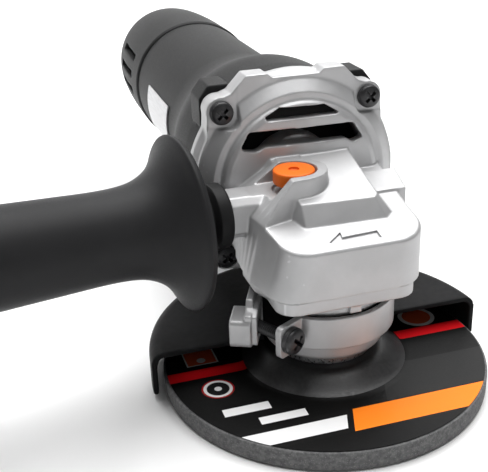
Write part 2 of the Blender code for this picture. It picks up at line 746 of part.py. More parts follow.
def rear_screw_bores(owner):
    """Cutters for the radial screws: a clear hole, and a head recess in the rear cover."""
    bores = []
    for i, angle in enumerate(rear_screw_frames()):
        turn = (0.0, math.pi / 2 - angle, 0.0)
        at = (0, 179.0, MOTOR_Z)
        bores.append(rod(f"{owner}_screw_hole_{i}", 1.8, 20.0, 34.0, segments=10, at=at, turn=turn))
        if owner == "cover":
            bores.append(rod(f"{owner}_screw_seat_{i}", 3.2, 28.0, 34.0, segments=14, at=at, turn=turn))
    return bores


def rear_cover(finish):
    cover = turned("rear_cover", [
        (26.6, HOUSING_END + GAP), (HOUSING_R + 0.1, HOUSING_END + GAP), (30.5, 173.6), (30.3, 200.0), (29.3, 220.0),
        (27.9, 232.0), (26.2, 237.0), (22.5, REAR_END), (4.8, REAR_END), (4.8, 237.2), (21.5, 237.2),
        (24.8, 231.5), (26.6, 221.0),
    ], axis="Y", segments=32, at=(0, 0, MOTOR_Z), finish=finish)
    vents = []
    for side in (-1, 1):
        for i, dz in enumerate((-4.5, 3.8, 12.1)):
            low = (min(side * 20, side * 36), 187.0, MOTOR_Z + dz - 1.7)
            high = (max(side * 20, side * 36), 219.0, MOTOR_Z + dz + 1.7)
            vents.append(box(f"vent_{side}_{i}", low, high))
    return cut(cover, *vents, *rear_screw_bores("cover"))


def rear_cover_screws(finish):
    for i, angle in enumerate(rear_screw_frames()):
        holder = empty(f"rear_screw_axis_{i + 1}", (0, 179.0, MOTOR_Z), (0.0, math.pi / 2 - angle, 0.0))
        pan_screw(f"rear_cover_screw_{i + 1}", 2.8, 1.7, 1.4, 6.0, (0, 0, 28.3), "Z", 1, finish,
                  parent=holder, segments=12)


# ---------------------------------------------------------------- motor


def armature(steel, copper, plastic, parent):
    turned("armature_shaft", [
        (0.0, 12.2), (2.6, 12.2), (2.6, 14.6), (3.5, 14.6), (3.5, 21.6), (5.0, 21.7), (5.0, 31.2), (6.0, 31.3),
        (6.0, 146.5), (3.4, 146.6), (3.4, 155.5), (0.0, 155.5),
    ], axis="Y", segments=16, finish=steel, parent=parent)
    outline = []
    for i in range(12):
        middle = 30 * i
        outline += arc((0, 0), CORE_R, middle + 4, middle + 26, 3)
        outline += [(10.8 * math.cos(math.radians(middle + a)), 10.8 * math.sin(math.radians(middle + a)))
                    for a in (26, 34)]
    core = prism("armature_core", outline, 72.0, 112.0, axis="Y", finish=steel, parent=parent)
    cut(core, rod("core_bore", 6.3, 60, 120, axis="Y", parent=parent))
    turned("armature_winding_front", [
        (6.4, 63.0), (11.0, 62.0), (13.6, 65.0), (14.0, 71.7), (6.4, 71.7),
    ], axis="Y", segments=20, finish=copper, parent=parent)
    turned("armature_winding_rear", [
        (6.4, 112.3), (14.0, 112.3), (13.6, 118.6), (11.0, 121.5), (6.4, 120.6),
    ], axis="Y", segments=20, finish=copper, parent=parent)
    washer("commutator", 6.3, 10.5, 125.0, 141.0, axis="Y", segments=24, finish=copper, parent=parent)
    cooling_fan(plastic, parent)


def cooling_fan(finish, parent):
    fan = turned("cooling_fan", [
        (6.3, 36.2), (30.5, 36.2), (31.5, 37.0), (31.5, 38.4), (10.5, 38.6), (9.6, 46.0), (6.3, 46.0),
    ], axis="Y", segments=24, finish=finish, parent=parent)
    corners, faces = [], []
    for i in range(12):
        angle = 2 * math.pi * i / 12
        out = (math.cos(angle), math.sin(angle))
        side = (-out[1] * 0.7, out[0] * 0.7)
        loops = []
        for y, reach in ((37.6, 31.0), (45.8, 29.5)):
            loops.append([
                (out[0] * 15 - side[0], y, out[1] * 15 - side[1]), (out[0] * reach - side[0], y, out[1] * reach - side[1]),
                (out[0] * reach + side[0], y, out[1] * reach + side[1]), (out[0] * 15 + side[0], y, out[1] * 15 + side[1]),
            ])
        more, skin = bridge(loops)
        faces += [[len(corners) + c for c in face] for face in skin]
        corners += more
    return fuse(fan, solid("fan_blades", corners, faces, parent=parent))


def pinion(finish, parent):
    body = turned("pinion", [
        (3.8, 14.8), (5.05, 14.8), (pitch_r(GEAR_R) - DEDENDUM, GEAR_R), (pitch_r(GEAR_R) - DEDENDUM, 21.2), (3.8, 21.2),
    ], axis="Y", segments=24, finish=finish, parent=parent)
    # The lowest place is a tooth space, because the crown gear has a tooth there.
    start = math.radians(-90) + math.pi / PINION_TEETH
    return fuse(body, teeth("pinion_teeth", pinion_tooth, PINION_TEETH, start, parent=parent))


def pitch_r(distance):
    return distance / RATIO


def pinion_nut(finish, parent):
    profile = [(3.1, 12.6), (3.9, 12.6), (3.9, 14.3), (3.1, 14.3)]
    return turned("pinion_nut", profile, axis="Y", segments=6, finish=finish, parent=parent)


def stator(steel, copper):
    at = (0, 0, MOTOR_Z)
    core = rod("stator_core", STATOR_R, 72.0, 112.0, axis="Y", segments=32, finish=steel, at=at)
    inner = arc((0, 0), 22.6, -38, 38, 7) + arc((0, 0), 15.6, 40, 140, 9)
    inner += arc((0, 0), 22.6, 142, 218, 7) + arc((0, 0), 15.6, 220, 320, 9)
    cut(core, prism("stator_bore", inner, 60, 120, axis="Y", at=at))
    for name, turn in (("field_coil_upper", 0), ("field_coil_lower", 180)):
        coil = prism(name, sector(16.3, 22.2, 4 + turn, 176 + turn, 15), 62.5, 119.0, axis="Y", finish=copper, at=at)
        window = sector(14.0, 25.0, 37.2 + turn, 142.8 + turn, 9)
        cut(coil, prism(name + "_window", window, 71.5, 112.5, axis="Y", at=at))


def brushes(brass, carbon, steel):
    for name, side in (("upper", 1), ("lower", -1)):
        low, high = sorted((side * 12.6, side * 26.6))
        holder = box(f"brush_holder_{name}", (-5.5, 127.0, low), (5.5, 139.0, high), finish=brass, at=(0, 0, MOTOR_Z))
        low, high = sorted((side * 10.0, side * 26.0))
        cut(holder, box(f"brush_room_{name}", (-3.7, 128.6, low), (3.7, 137.4, high), at=(0, 0, MOTOR_Z)))
        low, high = sorted((side * 10.9, side * 21.0))
        box(f"carbon_brush_{name}", (-3.3, 129.0, low), (3.3, 137.0, high), finish=carbon, at=(0, 0, MOTOR_Z))
        start = 21.3 if side > 0 else -25.7
        coil_spring(f"brush_spring_{name}", 2.2, 0.4, start, start + 4.4, 3, steel, steps=8, sides=4,
                    at=(0, 133.0, MOTOR_Z))


def bearings(steel, rubber):
    washer("spindle_bearing_lower", 6.4, 15.9, 27.3, 37.3, segments=24, finish=steel)
    washer("spindle_bearing_upper", 4.3, 5.85, 58.9, 66.2, segments=16, finish=steel)
    at = (0, 0, MOTOR_Z)
    washer("armature_bearing_front", 5.3, 12.9, 21.9, 29.9, axis="Y", segments=24, finish=steel, at=at)
    washer("armature_bearing_rear", 3.7, 9.5, 148.0, 154.0, axis="Y", segments=20, finish=steel, at=at)
    washer("bearing_sleeve", 9.8, 11.3, 147.6, 154.8, axis="Y", segments=20, finish=rubber, at=at)


def fan_baffle(finish):
    profile = [(20.0, 48.0), (33.6, 48.0), (33.6, 50.0), (22.0, 50.0), (20.0, 49.2)]
    return turned("fan_baffle", profile, axis="Y", segments=32, finish=finish, at=(0, 0, MOTOR_Z))


# ---------------------------------------------------------------- switch and cable inlet


def switch(dark, finish, steel, parent):
    plate = [(30.0, -5.6), (30.0, 5.6), (31.2, 6.4), (32.8, 5.2), (33.4, 0.0), (32.8, -5.2), (31.2, -6.4)]
    slider = prism("switch_slider", [(x, z) for x, z in plate], 122.0, 146.0, axis="Y", finish=finish, parent=parent)
    fuse(slider, box("slider_neck", (22.6, 131.0, -2.4), (31.0, 137.0, 2.4), parent=parent))
    link = box("switch_rod", (20.4, 130.0, -2.0), (22.3, 178.0, 2.0), finish=steel, parent=parent)
    fuse(link, box("rod_finger", (9.6, 175.4, -2.0), (21.0, 178.0, 2.0), parent=parent))
    outline = [(-8.0, -9.0), (8.0, -9.0), (8.0, 3.0), (6.0, 9.0), (-6.0, 9.0), (-8.0, 3.0)]
    body = prism("switch_body", about_motor(outline), 179.0, 206.0, axis="Y", finish=dark)
    return fuse(body, box("switch_toggle", (5.0, 178.4, MOTOR_Z - 3), (12.5, 182.0, MOTOR_Z + 3)))


def cord_grommet(finish):
    profile = [(3.4, 234.6), (4.5, 234.6), (4.5, 240.3), (8.2, 240.3), (8.2, 242.2), (6.6, 243.4), (3.4, 243.4)]
    return turned("cord_grommet", profile, axis="Y", segments=20, finish=finish, at=(0, 0, MOTOR_Z))


def rating_plate(finish):
    outline = sector(29.9, 30.3, 164, 200, 9)
    return prism("rating_plate", outline, 106.0, 146.0, axis="Y", finish=finish, at=(0, 0, MOTOR_Z))


# ---------------------------------------------------------------- side handle


def side_handle(rubber, steel, dark):
    """The handle's own Z axis runs outwards along the grip."""
    slide = empty("handle_axis", HANDLE_AT, (0.0, HANDLE_LIFT - math.pi / 2, HANDLE_TILT))
    turned("handle_bush", [
        (4.5, -2.1), (10.9, -2.1), (11.3, -1.3), (11.3, 2.6), (8.2, 3.6), (8.2, 9.0), (4.5, 9.0),
    ], segments=28, finish=dark, parent=slide)
    turned("handle_stud", [
        (0.0, -9.5), (3.4, -9.5), (4.0, -8.7), (4.0, 22.0), (0.0, 22.0),
    ], segments=16, finish=steel, parent=slide)
    grip = turned("handle_grip", [
        (0.0, 22.3), (4.3, 22.3), (4.3, 9.4), (9.4, 9.4), (28.7, 11.9), (HANDLE_FLANGE_R, 13.2),
        (28.9, 14.3), (25.2, 16.3), (20.4, 19.9), (17.2, 24.6), (15.5, 30.4), (15.0, 39.8),
        (16.1, 71.3), (GRIP_R + 0.3, 88.0), (15.5, 118.4), (16.8, 131.0),
        (GRIP_R, 135.8), (13.6, GRIP_END), (0.0, GRIP_END),
    ], segments=28, finish=rubber, parent=slide)
    return grip


def fasteners(finish):
    for i, (x, z) in enumerate(square(FLANGE_SCREW)):
        at = (x, ear_seat(z) - GAP, MOTOR_Z + z)
        pan_screw(f"flange_screw_{i + 1}", 4.1, 2.7, 2.0, 45.3 - at[1], at, "Y", -1, finish)
    for i, (x, y) in enumerate(cover_screw_places()):
        at = (x, y, COVER_SCREW_SEAT - GAP)
        pan_screw(f"cover_screw_{i + 1}", 2.7, 1.8, 1.6, 13.5, at, "Z", -1, finish, segments=12)


def main():
    clear_scene()
    aluminium = material("cast_aluminium", (0.66, 0.66, 0.67), 0.42, 0.85)
    steel = material("bright_steel", (0.56, 0.56, 0.57), 0.3, 1.0)
    laminations = material("lamination_steel", (0.32, 0.32, 0.33), 0.5, 0.9)
    black_steel = material("blackened_steel", (0.03, 0.03, 0.032), 0.38, 0.6)
    painted = material("guard_paint", (0.035, 0.035, 0.037), 0.5)
    charcoal = material("charcoal_plastic", (0.045, 0.045, 0.047), 0.55)
    grip = material("grip_plastic", (0.035, 0.035, 0.037), 0.6)
    orange = material("orange_plastic", (0.9, 0.2, 0.03), 0.45)
    abrasive = material("abrasive", (0.1, 0.1, 0.1), 0.85)
    copper = material("copper", (0.72, 0.34, 0.16), 0.35, 1.0)
    brass = material("brass", (0.75, 0.55, 0.22), 0.35, 1.0)
    carbon = material("carbon", (0.05, 0.05, 0.055), 0.6)
    rubber = material("rubber", (0.02, 0.02, 0.02), 0.75)
    label = material("label_foil", (0.6, 0.6, 0.6), 0.35, 0.3)

    spindle_group = empty("spindle_axis")
    guard_group = empty("guard_axis")
    armature_group = empty("armature_axis", (0, 0, MOTOR_Z))
    lock_group = empty("lock_axis", (LOCK_X, LOCK_Y, 0))
    switch_group = empty("switch_axis", (0, 0, MOTOR_Z))

    gear_housing(aluminium)
    bearing_cover(aluminium)
    bearings(steel, rubber)
    fasteners(black_steel)

    spindle(steel, spindle_group)
    crown_gear(steel, spindle_group)
    washer("gear_circlip", 6.4, 8.1, 57.2, 58.1, segments=20, finish=steel, parent=spindle_group)
    inner_flange(steel, spindle_group)
    grinding_disc(abrasive, spindle_group)
    flange_nut(steel, spindle_group)

    guard_shroud(painted, guard_group)
    clamp_band(aluminium, guard_group)
    clamp_screw(black_steel, guard_group)

    lock_button(orange, lock_group)
    lock_pin(steel, lock_group)
    coil_spring("lock_spring", 2.5, 0.4, 62.8, 73.6, 5, steel, parent=lock_group)

    motor_housing(charcoal)
    fan_baffle(charcoal)
    stator(laminations, copper)
    brushes(brass, carbon, steel)
    rear_cover(charcoal)
    rear_cover_screws(black_steel)
    rating_plate(label)

    armature(laminations, copper, charcoal, armature_group)
    pinion(steel, armature_group)
    pinion_nut(steel, armature_group)

    switch(charcoal, charcoal, steel, switch_group)
    rod("interference_capacitor", 6.5, 210.0, 228.0, axis="Y", finish=orange, at=(0, 0, MOTOR_Z - 17.0))
    cord_grommet(rubber)
    side_handle(grip, steel, charcoal)


main()
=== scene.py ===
"""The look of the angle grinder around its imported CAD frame.

Sizes are in millimetres and MM turns them into metres. The frame's origin is the lower end of the
spindle, +Z runs up the spindle, +Y runs back along the motor housing, the side handle points to -X.
"""

import json
import math

import bmesh
import bpy
from mathutils import Matrix, Vector


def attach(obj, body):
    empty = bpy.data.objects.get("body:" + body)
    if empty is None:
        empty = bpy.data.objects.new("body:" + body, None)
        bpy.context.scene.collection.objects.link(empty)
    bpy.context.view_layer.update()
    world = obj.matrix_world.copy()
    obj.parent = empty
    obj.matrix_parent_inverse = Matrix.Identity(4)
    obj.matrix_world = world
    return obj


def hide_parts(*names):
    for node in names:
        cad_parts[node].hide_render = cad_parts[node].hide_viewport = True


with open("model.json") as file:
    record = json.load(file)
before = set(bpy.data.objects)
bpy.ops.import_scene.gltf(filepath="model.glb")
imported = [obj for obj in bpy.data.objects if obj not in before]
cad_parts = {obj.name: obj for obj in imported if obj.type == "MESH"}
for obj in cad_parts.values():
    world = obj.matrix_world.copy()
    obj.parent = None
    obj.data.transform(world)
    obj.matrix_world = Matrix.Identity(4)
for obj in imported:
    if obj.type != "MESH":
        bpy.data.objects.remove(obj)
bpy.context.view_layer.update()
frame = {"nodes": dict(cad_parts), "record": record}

MM = 0.001

# Axes, heights and fits that the CAD fixes.
MOTOR_Z = 65.1
HEAD_FRONT = -25.5
HEAD_BOTTOM = 42.5
HEAD_REAR = 23.4
SLOPE = 0.19
SLOPE_FRONT_Z = 59.3
FLANGE_FACE = 25.8
EAR_FACE = 25.95
FLANGE_BACK = 34.0
FLANGE_R = 37.2
FLANGE_SCREW = 27.1
LOCK = (-8.1, 6.5)
BUTTON_R = 7.1
POCKET_R = 7.8
BUTTON_TOP = 76.0
COVER_BOTTOM = 38.2
COVER_SCREW_SEAT = COVER_BOTTOM + 2.4
BAND_LOW, BAND_HIGH = 22.7, 34.2
BAND_R = 24.6
PLATE_TOP = 37.4
LUG_ANGLE = math.radians(209.4)
BLOCK_ANGLE = math.radians(245.0)
CLAMP_R, CLAMP_Z = 28.3, 28.5
BOSS_X = 32.4
HANDLE_AT = (-34.9, 9.1, 61.9)
HANDLE_TILT = math.radians(8.1)
HANDLE_LIFT = math.radians(1.1)
DISC_R = 57.5
DISC_TOP = 6.5
HUMP_TOP = 12.5
DISC_THICK = 6.2
STEP_INNER, STEP_OUTER = 20.0, 31.0

# The head's leaning left side is the plane x = SIDE_X - SIDE_BACK * y + SIDE_UP * z.
SIDE_X = -38.38
SIDE_BACK = 0.1976
SIDE_UP = 0.213
SIDE_LIMIT = -28.3
HEAD_HALF = 27.9
COVER_HALF = 24.2
PLATEAU_FRONT_Z = 68.8
PLATEAU_RISE = (76.3 - 68.8) / 28.5
POCKET_FLOOR = 69.2

# Edges that turn by more than this angle are shaded sharp.
SHARP_ANGLE = math.radians(35)


# ---------------------------------------------------------------- mesh helpers


def warped(face):
    """Whether the face's corners are off its plane by more than a thousandth of a millimetre."""
    middle = face.calc_center_median()
    return any(abs((corner.co - middle).dot(face.normal)) > 0.001 * MM for corner in face.verts)


def solid(name, corners, faces, at=(0, 0, 0), turn=(0, 0, 0)):
    """A closed mesh from corners in millimetres, moved by its placement, with faces outwards."""
    mesh = bpy.data.meshes.new(name)
    mesh.from_pydata([[c * MM for c in corner] for corner in corners], [], faces)
    work = bmesh.new()
    work.from_mesh(mesh)
    bmesh.ops.recalc_face_normals(work, faces=work.faces)
    bmesh.ops.triangulate(work, faces=[face for face in work.faces if warped(face)])
    work.to_mesh(mesh)
    work.free()
    piece = bpy.data.objects.new(name, mesh)
    bpy.context.scene.collection.objects.link(piece)
    place = Matrix.Translation(Vector(at) * MM)
    if hasattr(turn, "to_4x4"):
        place = place @ turn.to_4x4()
    else:
        for angle, axis in zip(reversed(turn), "ZYX"):
            place = place @ Matrix.Rotation(angle, 4, axis)
    mesh.transform(place)
    return piece


def along(axis, a, b, h):
    """A corner whose plane coordinates are (a, b) and whose height along the axis is h."""
    return {"X": (h, a, b), "Y": (a, h, b), "Z": (a, b, h)}[axis]


def bridge(loops):
    """Corners and faces of the skin through equal loops, with both ends capped."""
    count = len(loops[0])
    corners = [corner for loop in loops for corner in loop]
    faces = [list(range(count)), list(range(len(corners) - count, len(corners)))]
    for row in range(len(loops) - 1):
        low, high = row * count, (row + 1) * count
        for i in range(count):
            j = (i + 1) % count
            faces.append([low + i, low + j, high + j, high + i])
    return corners, faces


def lofted(name, loops, **where):
    return solid(name, *bridge(loops), **where)


def prism(name, outline, low, high, axis="Z", **where):
    return lofted(name, [[along(axis, a, b, h) for a, b in outline] for h in (low, high)], **where)


def box(name, low, high):
    outline = [(low[0], low[1]), (high[0], low[1]), (high[0], high[1]), (low[0], high[1])]
    return prism(name, outline, low[2], high[2])


def turned(name, profile, axis="Z", segments=96, **where):
    """A body of revolution from (radius, height) corners. Corners at radius 0 lie on the axis."""
    corners, rings = [], []
    for radius, height in profile:
        start = len(corners)
        if radius == 0:
            corners.append(along(axis, 0.0, 0.0, height))
            rings.append([start] * segments)
            continue
        for i in range(segments):
            angle = 2 * math.pi * i / segments
            corners.append(along(axis, radius * math.cos(angle), radius * math.sin(angle), height))
        rings.append(list(range(start, start + segments)))
    faces = []
    for k, ring in enumerate(rings):
        after = (k + 1) % len(rings)
        if profile[k][0] == 0 and profile[after][0] == 0:
            continue
        for i in range(segments):
            j = (i + 1) % segments
            face = []
            for corner in (ring[i], ring[j], rings[after][j], rings[after][i]):
                if corner not in face:
                    face.append(corner)
            faces.append(face)
    return solid(name, corners, faces, **where)


def rod(name, radius, low, high, axis="Z", segments=40, **where):
    profile = [(0.0, low), (radius, low), (radius, high), (0.0, high)]
    return turned(name, profile, axis=axis, segments=segments, **where)


def arc(centre, radius, start, end, count):
    """Points of an arc, with both ends, from the start angle to the end angle in degrees."""
    points = []
    for i in range(count):
        angle = math.radians(start + (end - start) * i / (count - 1))
        points.append((centre[0] + radius * math.cos(angle), centre[1] + radius * math.sin(angle)))
    return points


def rounded(points, radius, steps=4, closed=True):
    """An outline or profile with its corners rounded by short arcs."""
    result = []
    count = len(points)
    for i, point in enumerate(points):
        here = Vector(point)
        if not closed and i in (0, count - 1):
            result.append(tuple(here))
            continue
        back = Vector(points[i - 1]) - here
        ahead = Vector(points[(i + 1) % count]) - here
        reach = min(radius, 0.45 * back.length, 0.45 * ahead.length)
        start = here + back.normalized() * reach
        end = here + ahead.normalized() * reach
        for k in range(steps + 1):
            t = k / steps
            mixed = start * (1 - t) ** 2 + here * 2 * t * (1 - t) + end * t * t
            result.append(tuple(mixed))
    return result


def apply_changes(piece):
    """Makes the piece's modifiers part of its mesh."""
    graph = bpy.context.evaluated_depsgraph_get()
    made = bpy.data.meshes.new_from_object(piece.evaluated_get(graph))
    piece.modifiers.clear()
    piece.data = made
    return piece


def combine(target, others, operation):
    for other in others:
        change = target.modifiers.new(operation, "BOOLEAN")
        change.operation = operation
        change.solver = "EXACT"
        change.object = other
        apply_changes(target)
        bpy.data.objects.remove(other)
    return target


def cut(target, *tools):
    return combine(target, tools, "DIFFERENCE")


def fuse(target, *pieces):
    return combine(target, pieces, "UNION")


def cast(piece, voxel, passes):
    """Rounds every edge as a casting or moulding has them: an even remesh and a light smoothing."""
    remesh = piece.modifiers.new("even_mesh", "REMESH")
    remesh.mode = "VOXEL"
    remesh.voxel_size = voxel * MM * 1.0
    remesh.use_smooth_shade = True
    soften = piece.modifiers.new("soften", "SMOOTH")
    soften.factor = 0.5
    soften.iterations = passes
    return apply_changes(piece)


def shaded(piece):
    """Smooth shading with the piece's sharp edges kept."""
    piece.data.shade_smooth()
    piece.data.set_sharp_from_angle(angle=SHARP_ANGLE)
    return piece


def finished(piece, finish, body, *nodes):
    """Gives the piece its finish and its body, and lets it stand for the CAD nodes named."""
    piece.data.materials.clear()
    piece.data.materials.append(finish)
    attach(piece, body)
    if nodes:
        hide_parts(*nodes)
    return piece


# ---------------------------------------------------------------- node materials


class Shader:
    """A Principled material and short calls for the nodes that feed it."""

    def __init__(self, name, slot, roughness, metallic=0.0, specular=0.5):
        self.material = bpy.data.materials.new(name)
        self.material.use_nodes = True
        self.material["slot"] = slot
        self.tree = self.material.node_tree
        self.main = self.tree.nodes["Principled BSDF"]
        self.main.inputs["Roughness"].default_value = roughness
        self.main.inputs["Metallic"].default_value = metallic
        self.main.inputs["Specular IOR Level"].default_value = specular
        self.place = self.add("ShaderNodeTexCoord").outputs["Object"]

    def add(self, kind, **settings):
        node = self.tree.nodes.new(kind)
        for key, value in settings.items():
            setattr(node, key, value)
        return node

    def wire(self, value, socket):
        if hasattr(value, "links"):
            self.tree.links.new(value, socket)
        else:
            socket.default_value = value

    def math(self, operation, *values):
        node = self.add("ShaderNodeMath", operation=operation)
        for value, socket in zip(values, node.inputs):
            self.wire(value, socket)
        return node.outputs[0]

    def noise(self, scale, detail=2.0, stretch=(1, 1, 1)):
        space = self.add("ShaderNodeMapping")
        space.inputs["Scale"].default_value = stretch
        self.wire(self.place, space.inputs["Vector"])
        node = self.add("ShaderNodeTexNoise")
        self.wire(space.outputs[0], node.inputs["Vector"])
        node.inputs["Scale"].default_value = scale
        node.inputs["Detail"].default_value = detail
        return node.outputs["Fac"]

    def cells(self, scale):
        node = self.add("ShaderNodeTexVoronoi")
        self.wire(self.place, node.inputs["Vector"])
        node.inputs["Scale"].default_value = scale
        return node.outputs["Distance"]

    def ramp(self, value, low, high, start=0.0, end=1.0):
        node = self.add("ShaderNodeMapRange")
        for socket, number in zip(list(node.inputs)[:5], (value, low, high, start, end)):
            self.wire(number, socket)
        return node.outputs[0]

    def mix(self, share, first, second):
        node = self.add("ShaderNodeMix", data_type="RGBA")
        self.wire(share, node.inputs[0])
        for colour, socket in ((first, node.inputs[6]), (second, node.inputs[7])):
            self.wire(colour if hasattr(colour, "links") else (*colour, 1.0), socket)
        return node.outputs[2]

    def edge_wear_and_highlight(self, low, high):
        """Share of edge, from 0 on flats to 1 on the sharpest outward edges, where a finish mixes in a
        paler colour: worn edges on most finishes, a painted edge highlight on the cast aluminium.
        """
        return self.ramp(self.add("ShaderNodeNewGeometry").outputs["Pointiness"], low, high)

    def colour(self, value):
        self.wire(value, self.main.inputs["Base Color"])

    def roughness(self, value):
        self.wire(value, self.main.inputs["Roughness"])

    def bump(self, height, strength, distance):
        node = self.add("ShaderNodeBump")
        node.inputs["Strength"].default_value = strength
        node.inputs["Distance"].default_value = distance * MM
        self.wire(height, node.inputs["Height"])
        self.wire(node.outputs[0], self.main.inputs["Normal"])


def cast_aluminium():
    paint = Shader("cast_aluminium", "cast_aluminium", 0.42, metallic=0.45)
    cloud = paint.noise(90, detail=4)
    tone = paint.mix(paint.ramp(cloud, 0.35, 0.65), (0.43, 0.43, 0.435), (0.48, 0.48, 0.485))
    # Painted highlight: the paler colour on the sharpest edges stands for light catching the rounded edges
    # of the casting.
    paint.colour(paint.mix(paint.edge_wear_and_highlight(0.56, 0.7), tone, (0.6, 0.6, 0.61)))
    grain = paint.noise(2600, detail=3)
    paint.roughness(paint.ramp(grain, 0.3, 0.7, 0.38, 0.5))
    paint.bump(grain, 0.12, 0.05)
    return paint.material


def steel(name, slot, colour, roughness, stretch=(1, 1, 1)):
    metal = Shader(name, slot, roughness, metallic=1.0)
    grain = metal.noise(1400, detail=3, stretch=stretch)
    darker = tuple(c * 0.8 for c in colour)
    metal.colour(metal.mix(metal.ramp(grain, 0.2, 0.8), darker, colour))
    metal.roughness(metal.ramp(grain, 0.3, 0.7, roughness - 0.06, roughness + 0.08))
    metal.bump(grain, 0.08, 0.03)
    return metal.material


def black_oxide():
    metal = Shader("black_oxide", "blackened_steel", 0.4, metallic=0.35)
    grain = metal.noise(1200, detail=3)
    tone = metal.mix(metal.ramp(grain, 0.35, 0.65), (0.022, 0.022, 0.023), (0.036, 0.036, 0.038))
    metal.colour(metal.mix(metal.edge_wear_and_highlight(0.53, 0.66), tone, (0.11, 0.11, 0.115)))
    metal.roughness(metal.ramp(grain, 0.3, 0.7, 0.34, 0.46))
    metal.bump(grain, 0.1, 0.03)
    return metal.material


def moulded(name, slot, colour, roughness, pitch=2200, depth=0.05, worn=1.5):
    """Moulded plastic: a fine spark-eroded texture, slow tone changes and paler edges."""
    plastic = Shader(name, slot, roughness, specular=0.13)
    cloud = plastic.noise(60, detail=3)
    low = tuple(c * 0.88 for c in colour)
    tone = plastic.mix(plastic.ramp(cloud, 0.35, 0.65), low, colour)
    paler = tuple(min(1.0, c * worn) for c in colour)
    plastic.colour(plastic.mix(plastic.edge_wear_and_highlight(0.53, 0.66), tone, paler))
    grain = plastic.noise(pitch, detail=2)
    plastic.roughness(plastic.ramp(grain, 0.3, 0.7, roughness - 0.05, roughness + 0.07))
    plastic.bump(grain, 0.22, depth)
    return plastic.material


def guard_paint():
    paint = Shader("guard_paint", "guard_paint", 0.5, specular=0.06)
    peel = paint.noise(420, detail=2)
    cloud = paint.ramp(paint.noise(45), 0.35, 0.65)
    tone = paint.mix(cloud, (0.008, 0.008, 0.0085), (0.011, 0.011, 0.0115))
    paint.colour(paint.mix(paint.edge_wear_and_highlight(0.53, 0.64), tone, (0.03, 0.03, 0.031)))
    paint.roughness(paint.ramp(peel, 0.3, 0.7, 0.45, 0.55))
    paint.bump(peel, 0.1, 0.06)
    return paint.material


def abrasive():
    """Resin-bonded grit: dark binder with paler grains that stand out."""
    grit = Shader("abrasive_grit", "abrasive", 0.8)
    grains = grit.cells(1500)
    spread = grit.noise(700, detail=4)
    tone = grit.mix(grit.ramp(spread, 0.35, 0.65), (0.085, 0.085, 0.087), (0.15, 0.15, 0.15))
    grit.colour(grit.mix(grit.ramp(grains, 0.05, 0.25), (0.26, 0.255, 0.25), tone))
    grit.roughness(grit.ramp(grains, 0.0, 0.5, 0.6, 0.9))
    grit.bump(grit.math("SUBTRACT", spread, grains), 0.5, 0.15)
    return grit.material


def disc_hub():
    """The raised hub of the disc: bare black resin with glass mesh showing faintly."""
    hub = Shader("hub_resin", "abrasive", 0.42)
    weave = hub.noise(900, detail=2)
    hub.colour(hub.mix(hub.ramp(weave, 0.35, 0.65), (0.022, 0.022, 0.023), (0.034, 0.034, 0.035)))
    hub.roughness(hub.ramp(weave, 0.3, 0.7, 0.36, 0.5))
    hub.bump(weave, 0.1, 0.04)
    return hub.material


